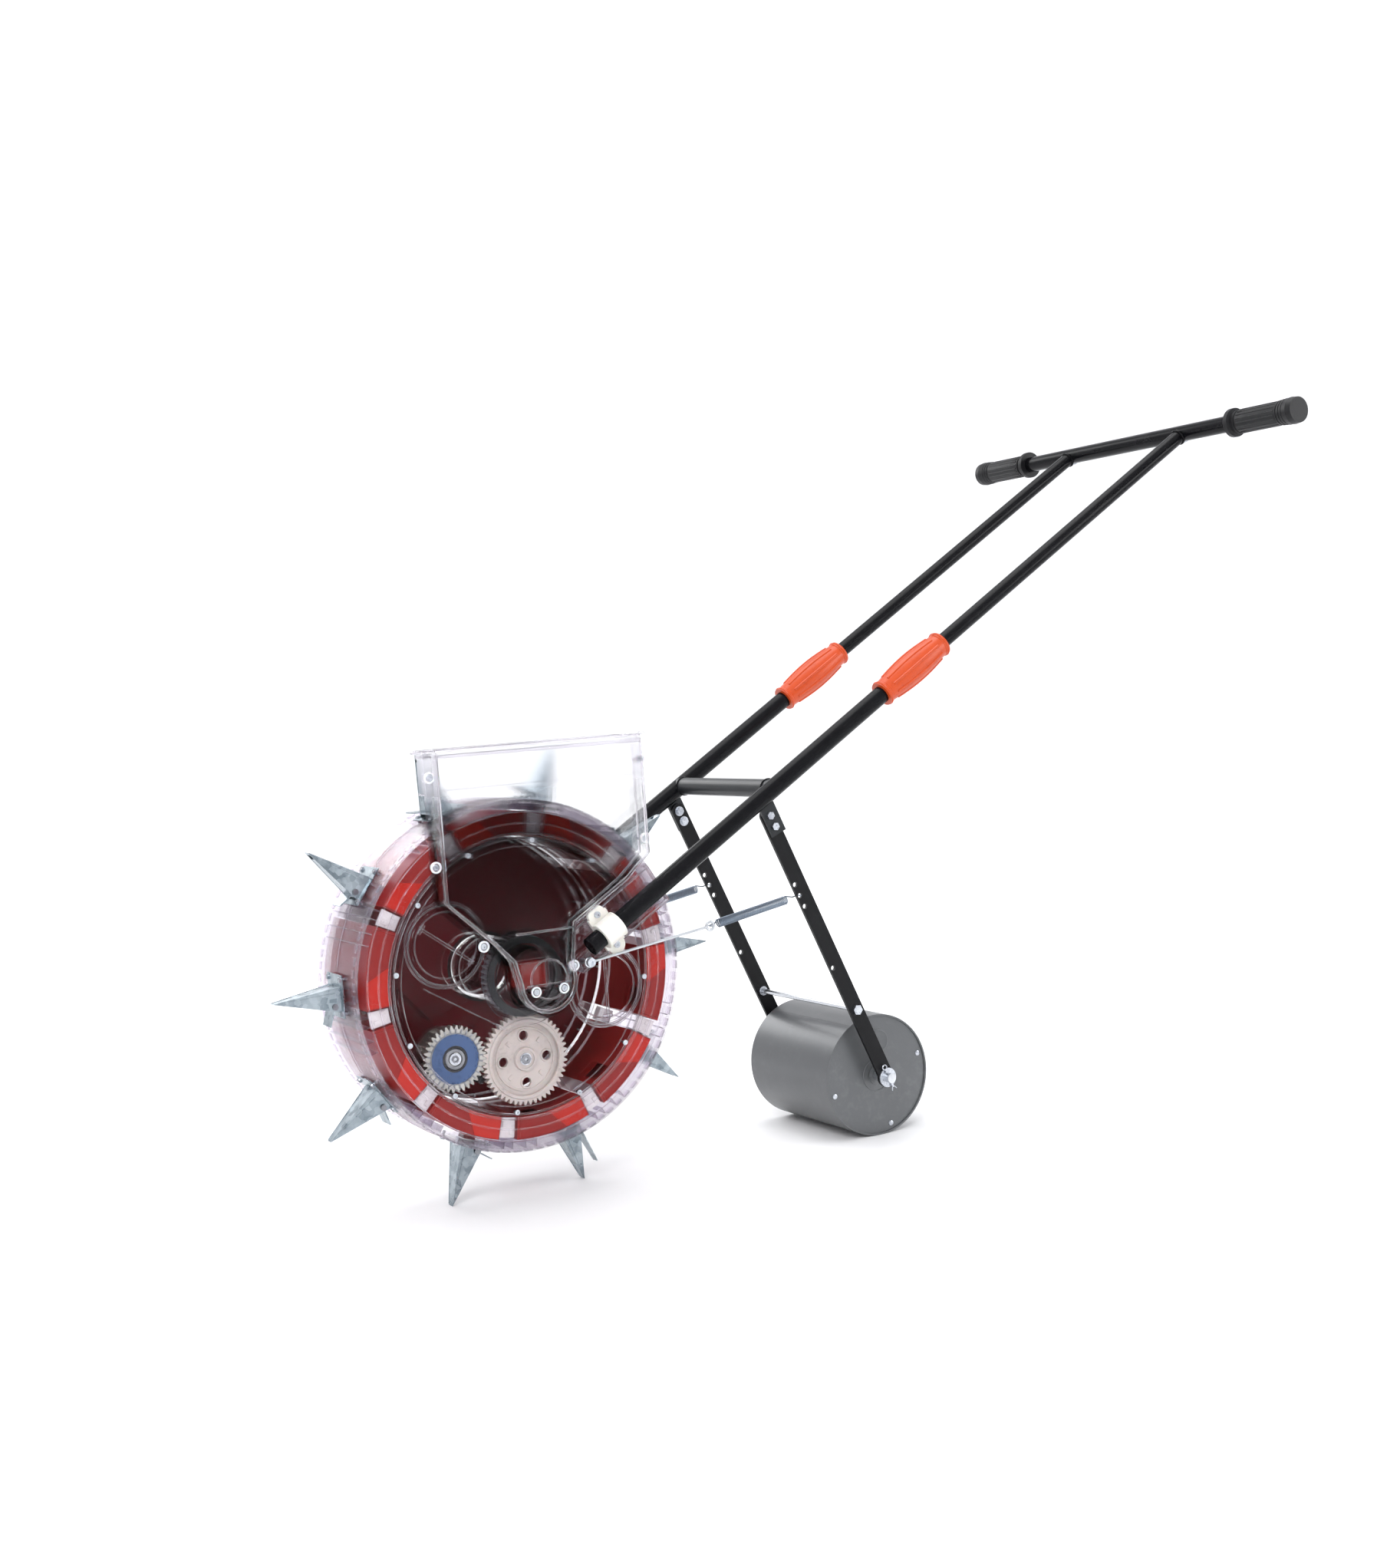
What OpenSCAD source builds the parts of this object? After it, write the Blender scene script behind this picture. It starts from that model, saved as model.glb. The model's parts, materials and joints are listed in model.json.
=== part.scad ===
// Hand-pushed rolling punch seeder. A clear drum with hinged beaks rolls along the row, a
// metering roller inside it drops the seed, and a press roller on sprung arms closes the soil.
// Axes: the machine is pushed towards -X, the handle leads to +X, +Z is up, and the floor is z = 0.

/* [Drum] */
// Outer radius of the drum's rim
drum_r = 200; // [160:1:240]
// Width of the drum over both side faces
drum_w = 127; // [110:1:150]
// Thickness of the moulded drum walls
drum_wall = 3; // [2:0.5:4]
// Number of beaks and of seed chambers around the rim
opener_count = 10; // [10]
// Height of a beak's tip above the rim
beak_h = 74.5; // [60:0.5:90]
// Depth of a seed chamber, measured inwards from its outer wall
chamber_h = 27; // [20:1:32]

/* [Beaks] */
// Thickness of the beaks' sheet metal
sheet_t = 1.2; // [0.8:0.1:2]
// Width of a beak at its base, along the rim
beak_base = 29; // [24:1:36]
// Depth of a beak at its base, along the axle
beak_depth = 32; // [26:1:36]
// Depth of a beak at its tip, along the axle
beak_tip_depth = 11; // [9:1:16]
// Angle at which the jaw of the lifted beak stands open at rest
held_open = 22; // [0:1:22]

/* [Metering] */
// Gear module of the metering drive
gear_module = 2; // [2]
// Teeth of the ring that turns with the drum
sun_teeth = 45; // [45]
// Teeth of the idler gear
idler_teeth = 51; // [51]
// Teeth of the seed roller's gear
roller_teeth = 36; // [36]
// Width of the gear faces
gear_w = 8; // [6:1:10]
// Width of the seed roller behind its gear
cell_w = 26; // [20:1:30]
// Number of seed cells around the roller
cell_count = 8; // [8]

/* [Hopper] */
// Width of the hopper at its mouth
hopper_w = 248; // [200:1:280]
// Height of the hopper's mouth above the axle
hopper_top = 262; // [235:1:290]
// Depth of the hopper at its mouth, from front to back
hopper_d = 58; // [48:1:70]
// Depth of the hopper below the drum's rim
hopper_low_d = 36; // [32:1:44]
// Thickness of the hopper's walls
hopper_wall = 2.5; // [2:0.5:3.5]

/* [Handle] */
// Slope of the handle above the floor
handle_angle = 31.4; // [25:0.1:40]
// Distance between the centre lines of the two side tubes
tube_gap = 223.6; // [215:0.1:240]
// Outer diameter of the lower tubes
lower_od = 22; // [20:0.5:25]
// Outer diameter of the sliding upper tubes
upper_od = 19; // [16:0.5:19]
// Length of the lower tubes
lower_len = 560; // [500:5:620]
// Distance along the tubes from their lower end to the handlebar
reach = 1115; // [1000:5:1200]
// Length of the handlebar over its grips
bar_len = 632; // [560:2:680]
// Length of a grip
grip_len = 112; // [90:2:130]
// Largest diameter of a twist sleeve
sleeve_od = 38; // [34:1:44]
// Length of a twist sleeve
sleeve_len = 111; // [100:1:125]

/* [Press roller] */
// Radius of the press roller
press_r = 75.7; // [60:0.1:90]
// Length of the press roller
press_len = 177.4; // [150:0.2:190]
// Length of an arm from its pivot to the roller's axle
arm_len = 370.6; // [340:0.2:400]
// Width of the arms' flat bar
arm_w = 20; // [16:1:26]
// Thickness of the arms' flat bar
arm_t = 4; // [3:0.5:5]
// Backward slope of the arms from the vertical
arm_angle = 23.5; // [20:0.1:30]

/* [Hidden] */
$fn = 64;

// Clearances
run_gap = 0.06;
slip_gap = 0.05;
part_gap = 0.3;

// Drum
half_w = drum_w / 2;
tip_r = drum_r + beak_h;
pitch = 360 / opener_count;
first_angle = 144;
cover_r = drum_r - 42;
lip = 7;
cover_screw_r = cover_r - 3.5;
cover_screws = 12;
corner_r = 6;
rim_in = drum_r - drum_wall;
chamber_out = drum_r - 13;
chamber_in = chamber_out - chamber_h;
chamber_y = half_w - 2 * drum_wall - 0.1;
chamber_arc = 29;
chamber_lag = 10;
chamber_wall = 2;
outlet_y = 9;
outlet_v = [-6, 9];

// Hub
hub_r = 38;
hub_wall = 3;
seal_r = 42.4;
seal_flange_r = 46;
seal_flange_t = 2.5;
bracket_gap = 5;
bracket_t = 3.5;
bracket_y = half_w + bracket_gap;
plate_y = bracket_y + bracket_t;
hopper_front_y = plate_y + hopper_d;
hopper_low_y = hopper_front_y - hopper_low_d;
split_y = hopper_front_y - hopper_low_d / 2;
window = 27;

// Hopper outline, from the axle
hopper_left = 11 - hopper_w / 2;
hopper_right = 11 + hopper_w / 2;
step_z = hopper_top - 45;
tongue_r = 33;
flange_t = 3;
flange_w = 9;
feed_r = hub_r - hub_wall - 1;
lid_t = 2.7;
lid_skirt = 7;
hinge_r = 2;
hinge_at = [hopper_right + 5.5, hopper_top + 1.5];

// Beaks
v_closed = -0.38 * beak_base;
v_open = 0.62 * beak_base;
pin_rise = 8;
pin_at = [drum_r + pin_rise, v_open * (1 - pin_rise / beak_h) - 5.07];
pin_r = 2;
ear_r = 4.6;
jaw_short = 11;
flange_v = [-24, 24];
flange_y = 24;
flange_screw = [19, 20];
held_index = 5;

// Metering
sun_r = gear_module * sun_teeth / 2;
idler_r = gear_module * idler_teeth / 2;
roller_r = gear_module * roller_teeth / 2;
idler_dir = -91.5;
roller_dir = 171;
idler_at = (sun_r + idler_r) * [cos(idler_dir), sin(idler_dir)];
roller_at = idler_at + (idler_r + roller_r) * [cos(roller_dir), sin(roller_dir)];
gear_y = -half_w + 2 * drum_wall + 1.5;
shaft_r = 4;
cell_y = gear_y + gear_w;
cell_r = roller_r - 3;
casing_r = cell_r + 0.8;
meter_y = cell_y + cell_w + 1;
meter_t = 3;
rim_ring = [15, 28];

// Ports in the near cover
port_r = 43;
port_at = 104;
port_angles = [153, -14];
rib_angles = [-37, 90];

// Handle
tube_y = tube_gap / 2;
tube_start = [61.7, 29.1];
cross_at = 301.6;
sleeve_at = 497;
inside_len = 330;
bar_od = 22;
grip_od = 31;
grip_flange_od = 38;
clamp_mid = 31;
clamp_w = 26;
clamp_t = 4.5;
clamp_screw = lower_od / 2 + 10.5;
arm_block = [-18, 118];
arm_half = lower_od / 2 + 14;
rod_foot = [-9, -15];
seat_y = tube_y - lower_od / 2 - 1.2;

// Press roller
press_wall = 2;
lug_t = 4;
arm_y = tube_y - lug_t / 2 - 0.2 - arm_t / 2;
pivot_at = [311, 154.5];
arm_dir = [sin(arm_angle), -cos(arm_angle)];
axle_at = pivot_at + arm_len * arm_dir;
axle_r = 6;
bolt_r = 3;
stop_at = 14.6;
hook_at = 107;
hole_gap = 15;
hole_side = -5.5;
low_hole_at = 209;
tie_at = 272;
spring_r = 5.5;
spring_wire = 1.6;
rod_end = [222, 33];
rod_wire = 1.6;
swing = [-7, 11];

// Overall
tip_drop = tip_r * cos(pitch / 2);
axle_h = max(tip_drop, press_r - axle_at[1]);
rear_x = tube_start[0] + reach * cos(handle_angle) + grip_flange_od / 2;
mid_x = (rear_x - tip_r) / 2;

// ---------- helpers ----------
module at_axle() {
    translate([-mid_x, 0, axle_h]) children();
}
// Extrudes an outline drawn in X and Z over a range of Y
module slab(y0, y1) {
    translate([0, y1, 0]) rotate([90, 0, 0]) linear_extrude(y1 - y0) children();
}
// A round bar along Y through an X, Z point
module bar_y(r, y0, y1, at = [0, 0], fn = 48) {
    translate([at[0], y0, at[1]]) rotate([-90, 0, 0]) cylinder(r = r, h = y1 - y0, $fn = fn);
}
// Turns an outline of radius and Y about the Y axis
module turned(fn = 128) {
    rotate([-90, 0, 0]) rotate_extrude($fn = fn) children();
}
module mirror_far(far) {
    mirror([0, far ? 1 : 0, 0]) children();
}
// Frame of one opener: X is radial and outwards, Z runs along the rim
module at_opener(k) {
    rotate([0, -(first_angle + pitch * k), 0]) children();
}
// Frame of the handle: X runs up along the tubes from their lower end
module along_handle() {
    translate([tube_start[0], 0, tube_start[1]]) rotate([0, -handle_angle, 0]) children();
}
// Frame of an arm: X runs from the pivot to the roller's axle
module along_arm() {
    translate([pivot_at[0], 0, pivot_at[1]]) rotate([0, 90 - arm_angle, 0]) children();
}
// Flat ring drawn in X and Z
module ring2d(r_out, r_in, at = [0, 0]) {
    translate(at) difference() {
        circle(r_out);
        circle(r_in);
    }
}
// Pan-head screw whose head stands on plane y and whose shank runs towards +Y
module screw_y(at, y, r = 1.8, len = 8, head = 3.4, head_h = 1.8) {
    bar_y(r, y - 0.1, y + len, at, 24);
    difference() {
        bar_y(head, y - head_h, y, at, 32);
        bar_y(head * 0.45, y - head_h - 1, y - head_h * 0.45, at, 6);
    }
}
function rim_point(r, a) = [r * cos(a), r * sin(a)];
function arc(r, a0, a1, n, at = [0, 0]) = [for (i = [0 : n]) at + rim_point(r, a0 + (a1 - a0) * i / n)];

// Gear outline with straight flanks; one tooth is centred on angle a0
module gear2d(teeth, a0) {
    slack = 0.14;
    r = gear_module * teeth / 2;
    top = r + 0.9 * gear_module;
    root = r - 1.25 * gear_module;
    half = PI * gear_module / 4 - slack;
    lean = tan(20);
    wide = (half + (r - root) * lean) / root * 180 / PI;
    slim = (half - (top - r) * lean) / top * 180 / PI;
    polygon([for (i = [0 : teeth - 1], p = [[root, -wide], [top, -slim], [top, slim], [root, wide]])
        rim_point(p[0], a0 + i * 360 / teeth + p[1])]);
}
// Angle of a driven gear's tooth that meshes with its driver along direction dir
function mesh_angle(dir, teeth, phase, driven) =
    dir + 180 - (0.5 - (dir - phase) * teeth / 360) * 360 / driven;
sun_phase = 0;
idler_phase = mesh_angle(idler_dir, sun_teeth, sun_phase, idler_teeth);
roller_phase = mesh_angle(roller_dir, idler_teeth, idler_phase, roller_teeth);

// A straight strut between two points of an outline
module strut2d(a, b, w) {
    translate(a) rotate(atan2(b[1] - a[1], b[0] - a[0])) translate([0, -w / 2]) square([norm(b - a), w]);
}
// A round bar between two points given as X, Y, Z
module rod(a, b, r, fn = 24) {
    d = b - a;
    translate(a) rotate([0, acos(d[2] / norm(d)), atan2(d[1], d[0])]) cylinder(r = r, h = norm(d), $fn = fn);
}
// Sweeps an outline of radius and Y through an arc in the X, Z plane
module sector(a0, a1) {
    rotate([90, 0, 0]) rotate([0, 0, a0]) rotate_extrude(angle = a1 - a0, $fn = 96) children();
}
// A tube along the handle, centred on the near or far side
module tube_x(r, x0, x1, y, fn = 48) {
    translate([x0, y, 0]) rotate([0, 90, 0]) cylinder(r = r, h = x1 - x0, $fn = fn);
}
// A point of the handle's frame, in X and Z from the drum's axle
function on_handle(p) = tube_start + [p[0] * cos(handle_angle) - p[1] * sin(handle_angle),
    p[0] * sin(handle_angle) + p[1] * cos(handle_angle)];
// A point of the arm's frame, in X and Z from the drum's axle
function on_arm(p) = pivot_at + p[0] * arm_dir + p[1] * [cos(arm_angle), sin(arm_angle)];

// ---------- stationary frame ----------
module hub_tube() {
    wall_y = -half_w + 6;
    color("lavender", 0.5) at_axle() difference() {
        bar_y(hub_r - run_gap, -hopper_low_y, plate_y, fn = 96);
        bar_y(hub_r - hub_wall, -hopper_low_y - 1, wall_y, fn = 96);
        bar_y(hub_r - hub_wall, wall_y + hub_wall, plate_y - hub_wall, fn = 96);
        translate([-window / 2, wall_y - 5, 4 - window / 2]) cube([window, 20, window]);
        // Seed falls through the lower side of the tube into the trough
        translate([-hub_r, wall_y + 12, -hub_r - 1]) cube([hub_r + 6, half_w, hub_r - 12]);
    }
}

module side_bracket(far) {
    pocket = (arm_block[1] - arm_block[0] - 4 * 4) / 3;
    color("lavender", 0.5) at_axle() mirror_far(far) difference() {
        union() {
            slab(-plate_y, -bracket_y) {
                circle(seal_flange_r + 9, $fn = 96);
                translate(tube_start) rotate(handle_angle) translate([-40, -arm_half])
                    square([arm_block[1] + 40, 2 * arm_half]);
            }
            along_handle() translate([arm_block[0], -seat_y, -arm_half])
                cube([arm_block[1] - arm_block[0], seat_y - bracket_y, 2 * arm_half]);
        }
        bar_y(hub_r, -plate_y - 1, -bracket_y + 1, fn = 96);
        // Pockets between the ribs, open on the drum's side
        along_handle() for (i = [0 : 2], side = [-1, 1])
            translate([arm_block[0] + 4 + i * (pocket + 4), -seat_y + 4, side > 0 ? 2 : 2 - arm_half + 2])
                cube([pocket, seat_y - bracket_y, arm_half - 6]);
        along_handle() for (side = [-1, 1])
            bar_y(2 + slip_gap, -seat_y - 1, -seat_y + 20, [clamp_mid, side * clamp_screw], 24);
        along_handle() bar_y(bolt_r + slip_gap, -seat_y - 1, -seat_y + 20, rod_foot, 24);
    }
}
module side_bracket_near() { side_bracket(false); }
module side_bracket_far() { side_bracket(true); }

// White saddles that hold the tubes to the bracket arms
module tube_clamps() {
    lobe_r = clamp_w / 2 - 2;
    x0 = clamp_mid - clamp_w / 2;
    color("white") at_axle() for (far = [false, true]) mirror_far(far) along_handle() difference() {
        union() {
            tube_x(lower_od / 2 + clamp_t, x0, x0 + clamp_w, -tube_y);
            slab(-seat_y - 5, -seat_y) {
                translate([x0, -clamp_screw]) square([clamp_w, 2 * clamp_screw]);
                for (side = [-1, 1]) translate([clamp_mid, side * clamp_screw]) circle(lobe_r);
            }
        }
        tube_x(lower_od / 2 + slip_gap, x0 - 1, x0 + clamp_w + 1, -tube_y);
        translate([x0 - 1, -seat_y, -clamp_screw - clamp_w]) cube([clamp_w + 2, 40, 2 * (clamp_screw + clamp_w)]);
        for (side = [-1, 1]) bar_y(2 + slip_gap, -seat_y - 20, 0, [clamp_mid, side * clamp_screw], 24);
    }
}

module frame_screws() {
    color("silver") at_axle() for (far = [false, true]) mirror_far(far) along_handle() {
        for (side = [-1, 1]) screw_y([clamp_mid, side * clamp_screw], -seat_y - 5, r = 2, len = 18, head = 3.8);
        screw_y(rod_foot, -arm_y - 3, r = bolt_r, len = 22, head = 5, head_h = 3);
    }
}

// Outline of the hopper in X and Z, drawn clockwise from its top left corner
function hopper_outline() = concat(
    [[hopper_left, hopper_top], [hopper_right, hopper_top], [hopper_right, 130], [hopper_right - 30, 103]],
    [[36, 62]],
    arc(tongue_r, 25, -180, 14),
    [[-40, 28], [-63, 52], [hopper_left, 99]]
);
hopper_screw_at = [[hopper_left - 4.5, 236], [hopper_left - 4.5, 139], [-69, 47], [38, 12],
    [hopper_right + 4.5, 236], [hopper_right + 4.5, 145]];
tongue_screw_at = [[-17, -9], [17, -9]];

// One half of the hopper's lower column between two depths, open on its joint side
module hopper_half(y0, y1, wall_y0, wall_y1, flange_y0) {
    difference() {
        union() {
            slab(y0, y1) polygon(hopper_outline());
            intersection() {
                slab(flange_y0, flange_y0 + flange_t) union() {
                    offset(delta = flange_w, chamfer = true) polygon(hopper_outline());
                    for (p = hopper_screw_at) translate(p) circle(6.5);
                }
                union() {
                    translate([-400, -400, -200]) cube([400 + hopper_right, 800, 200 + hopper_top]);
                    translate([0, -400, -200]) cube([400, 800, 190 + hopper_top]);
                }
            }
        }
        slab(wall_y0, wall_y1) offset(delta = -hopper_wall) polygon(hopper_outline());
        translate([hopper_left + hopper_wall, wall_y0, hopper_top - 6])
            cube([hopper_w - 2 * hopper_wall, wall_y1 - wall_y0, 12]);
        for (p = hopper_screw_at) bar_y(1.8 + slip_gap, flange_y0 - 1, flange_y0 + flange_t + 1, p, 24);
    }
}
// Ear of the lid's hinge with its stub pin; dir is the way the pin points
module hinge_ear(y, dir) {
    slab(y, y + 4) {
        translate(hinge_at) circle(4.5);
        strut2d([hopper_right - 1, hopper_top - 12], hinge_at, 6);
    }
    bar_y(hinge_r, dir > 0 ? y + 3.9 : y - 9, dir > 0 ? y + 13 : y + 0.1, hinge_at, 32);
}
ear_near_y = -hopper_front_y + 6;
ear_far_y = -plate_y - 10;

module hopper_front() {
    color("lavender", 0.45) at_axle() {
        difference() {
            union() {
                hopper_half(-hopper_front_y, -split_y, -hopper_front_y + hopper_wall, -split_y + 1,
                    -split_y - flange_t);
                for (p = tongue_screw_at) bar_y(4.5, -hopper_front_y, -split_y, p, 32);
            }
            for (p = tongue_screw_at) bar_y(1.8 + slip_gap, -hopper_front_y - 1, -split_y + 1, p, 24);
        }
        hinge_ear(ear_near_y, 1);
    }
}

module hopper_back() {
    low = [[hopper_left + hopper_wall, step_z + hopper_wall], [hopper_right - hopper_wall, hopper_top + 1]];
    color("lavender", 0.45) at_axle() difference() {
        union() {
            hopper_half(-split_y, -hopper_low_y, -split_y - 1, -hopper_low_y - hopper_wall, -split_y);
            // The upper part reaches back over the drum's rim
            translate([hopper_left, -hopper_low_y - 1, step_z])
                cube([hopper_w, hopper_low_y - plate_y + 1, hopper_top - step_z]);
            hinge_ear(ear_far_y, -1);
        }
        translate([low[0][0], -hopper_low_y - 8, low[0][1]])
            cube([low[1][0] - low[0][0], hopper_low_y - plate_y + 8 - hopper_wall, low[1][1] - low[0][1]]);
        bar_y(feed_r - 2, -hopper_low_y - 8, -hopper_low_y + 1, fn = 96);
    }
}

module hopper_screws() {
    color("silver") at_axle() {
        for (p = hopper_screw_at) screw_y(p, -split_y - flange_t, len = 9);
        for (p = tongue_screw_at) screw_y(p, -hopper_front_y, len = 16);
    }
}

// ---------- metering unit, held still inside the drum ----------
module meter_plate() {
    ties = [[-52, 0], [-111, -36], [66, -104]];
    color("lavender", 0.5) at_axle() difference() {
        slab(meter_y, meter_y + meter_t) {
            circle(seal_r + 6, $fn = 96);
            for (p = concat(ties, [idler_at, roller_at])) {
                strut2d([0, 0], p, 16);
                translate(p) circle(p == idler_at || p == roller_at ? 14 : 9);
            }
            strut2d(ties[1], roller_at, 16);
            strut2d(roller_at, idler_at, 16);
            strut2d(idler_at, ties[2], 16);
        }
        bar_y(hub_r - run_gap, meter_y - 1, meter_y + meter_t + 1, fn = 96);
        for (p = [idler_at, roller_at]) bar_y(shaft_r, meter_y - 1, meter_y + meter_t + 1, p);
    }
}

// Casing around the seed roller with the guides that lead the seed to it
module seed_trough() {
    y0 = cell_y + 1;
    color("lavender", 0.5) at_axle() {
        translate([roller_at[0], 0, roller_at[1]]) sector(100, 250)
            translate([casing_r, -meter_y]) square([1.8, meter_y - y0]);
        slab(y0, meter_y) {
            strut2d([-146, 4], [-112, -35], 2);
            strut2d([-97, -31], [-54, -53], 2);
        }
    }
}

// Brush that wipes surplus seed off the roller
module brush() {
    color("dimgray") at_axle() translate([roller_at[0], 0, roller_at[1]]) rotate([0, 42, 0])
        translate([cell_r + 0.6, cell_y + 3, -4]) cube([17, meter_y - cell_y - 3, 8]);
}

module gear_pins() {
    color("silver") at_axle() for (p = [idler_at, roller_at]) {
        bar_y(shaft_r, gear_y - 0.5, meter_y + meter_t, p);
        bar_y(shaft_r + 3, gear_y - 1.2, gear_y - run_gap, p, 32);
        bar_y(shaft_r + 2, meter_y + meter_t, meter_y + meter_t + 3, p, 6);
    }
}

module idler_gear() {
    color("gainsboro") at_axle() translate([idler_at[0], 0, idler_at[1]]) difference() {
        union() {
            slab(gear_y, gear_y + gear_w) gear2d(idler_teeth, idler_phase);
            bar_y(shaft_r + 5, gear_y, meter_y - part_gap);
        }
        // A recessed web between the hub and the rim, with four round holes
        slab(gear_y - 1, gear_y + 2.5) ring2d(idler_r - 8, 13);
        slab(gear_y + gear_w - 2.5, gear_y + gear_w + 1) ring2d(idler_r - 8, shaft_r + 5);
        for (a = [0 : 90 : 270]) bar_y(5.5, gear_y - 1, gear_y + gear_w + 1, rim_point(27, a), 32);
        bar_y(shaft_r + run_gap, gear_y - 1, meter_y + 1);
    }
}

module seed_roller() {
    color("silver") at_axle() translate([roller_at[0], 0, roller_at[1]]) difference() {
        union() {
            slab(gear_y, gear_y + gear_w) gear2d(roller_teeth, roller_phase);
            bar_y(cell_r, cell_y, meter_y - 1, fn = 96);
        }
        // Seed cells around the wheel
        for (i = [0 : cell_count - 1]) bar_y(3.5, cell_y + 5, cell_y + cell_w - 5,
            rim_point(cell_r, (i + 0.5) * 360 / cell_count), 24);
        bar_y(rim_ring[1], gear_y - 1, gear_y + 2, fn = 96);
        bar_y(shaft_r + run_gap, gear_y - 1, meter_y + 1);
    }
}
module roller_rim() {
    color("steelblue") at_axle() slab(gear_y - 0.5, gear_y + 2) ring2d(rim_ring[1], rim_ring[0], roller_at);
}

// ---------- drum ----------
module drum_shell(far) {
    side = half_w - drum_wall - 0.1;
    seat = side - drum_wall;
    r0 = cover_r - lip;
    r1 = cover_r + 0.1;
    color("lavender", 0.4) at_axle() mirror_far(far) difference() {
        turned() polygon(concat(
            [[r0, -side], [r1, -side], [r1, -half_w]],
            arc(corner_r, -90, 0, 8, [drum_r - corner_r, corner_r - half_w]),
            [[drum_r, 0], [rim_in, 0]],
            arc(corner_r - drum_wall, 0, -90, 6, [drum_r - corner_r, corner_r - half_w]),
            [[r1 + drum_wall, drum_wall - half_w], [r1 + drum_wall, -seat], [r0, -seat]]
        ));
        for (k = [0 : opener_count - 1]) at_opener(k) {
            translate([rim_in - 8, -outlet_y, outlet_v[0]])
                cube([20, 2 * outlet_y, outlet_v[1] - outlet_v[0]]);
            for (v = [-1, 1]) translate([rim_in - 6, -flange_screw[1], v * flange_screw[0]])
                rotate([0, 90, 0]) cylinder(r = 1.8 + slip_gap, h = 20, $fn = 24);
        }
        cover_holes();
    }
}
module drum_shell_near() { drum_shell(false); }
module drum_shell_far() { drum_shell(true); }

module cover_holes() {
    for (i = [0 : cover_screws - 1])
        bar_y(1.5 + slip_gap, -half_w - 1, -half_w + 9, rim_point(cover_screw_r, 22 + i * 360 / cover_screws), 24);
}

module drum_cover_near() {
    color("lavender", 0.4) at_axle() difference() {
        slab(-half_w, -half_w + drum_wall) ring2d(cover_r, seal_r, $fn = 128);
        for (a = port_angles) bar_y(port_r, -half_w - 1, -half_w + 9, rim_point(port_at, a), 96);
        cover_holes();
    }
}
module drum_cover_far() {
    color("firebrick") at_axle() mirror_far(true) difference() {
        slab(-half_w, -half_w + drum_wall) ring2d(cover_r, seal_r, $fn = 128);
        cover_holes();
    }
}

module drum_screws() {
    color("silver") at_axle() {
        for (far = [false, true], i = [0 : cover_screws - 1]) mirror_far(far)
            screw_y(rim_point(cover_screw_r, 22 + i * 360 / cover_screws), -half_w, r = 1.5, len = 6.4, head = 3);
        for (k = [0 : opener_count - 1], v = [-1, 1], y = [-1, 1]) at_opener(k)
            translate([drum_r + sheet_t, y * flange_screw[1], v * flange_screw[0]]) rotate([0, 90, 0]) {
                translate([0, 0, -8]) cylinder(r = 1.8, h = 8.1, $fn = 24);
                cylinder(r = 3.4, h = 2, $fn = 32);
            }
    }
}

module sun_gear() {
    color("dimgray") at_axle() difference() {
        slab(-half_w + drum_wall, gear_y + gear_w) gear2d(sun_teeth, sun_phase);
        bar_y(hub_r + 1, -half_w, gear_y + gear_w + 1, fn = 96);
    }
}

module hub_seals() {
    color("black") at_axle() for (far = [false, true]) mirror_far(far) turned() polygon([
        [hub_r, -half_w - seal_flange_t], [seal_flange_r, -half_w - seal_flange_t],
        [seal_flange_r, -half_w], [seal_r, -half_w],
        [seal_r, -half_w + drum_wall], [hub_r, -half_w + drum_wall]
    ]);
}

// Red chambers that each hold one drop of seed until their beak is in the soil
module seed_chambers() {
    a0 = -chamber_lag - chamber_arc / 2;
    a1 = a0 + chamber_arc;
    wall_a = chamber_wall / chamber_out * 180 / PI;
    color("crimson") at_axle() for (k = [0 : opener_count - 1]) at_opener(k) difference() {
        union() {
            sector(a0, a1) translate([chamber_in, -chamber_y]) square([chamber_h, 2 * chamber_y]);
            translate([chamber_out - 3, 0.5 - outlet_y, outlet_v[0] + 0.5])
                cube([rim_in - 1 - chamber_out + 3, 2 * outlet_y - 1, outlet_v[1] - outlet_v[0] - 1]);
        }
        sector(a0 + wall_a, a1 - wall_a) translate([chamber_in + chamber_wall, chamber_wall - chamber_y])
            square([chamber_h - 2 * chamber_wall, 2 * (chamber_y - chamber_wall)]);
        translate([chamber_out - 6, 2 - outlet_y, outlet_v[0] + 2])
            cube([20, 2 * outlet_y - 4, outlet_v[1] - outlet_v[0] - 4]);
        // Inlet that passes the seed roller
        sector(a0 + 3, a0 + 11) translate([chamber_in - 1, -meter_y]) square([5, meter_y - cell_y]);
    }
}

// ---------- beaks ----------
function edge_v(base, u) = base * (tip_r - u) / (tip_r - drum_r);
function depth_at(u) = (beak_depth + (beak_tip_depth - beak_depth) * (u - drum_r) / beak_h) / 2;

// Space between two planes that narrow towards the tip, inset from the beak's sides
module beak_taper(inset) {
    u0 = drum_r - 5;
    u1 = tip_r + 5;
    d0 = depth_at(u0) - inset;
    d1 = depth_at(u1) - inset;
    translate([0, 0, -50]) linear_extrude(100) polygon([[u0, -d0], [u1, -d1], [u1, d1], [u0, d0]]);
}

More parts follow.
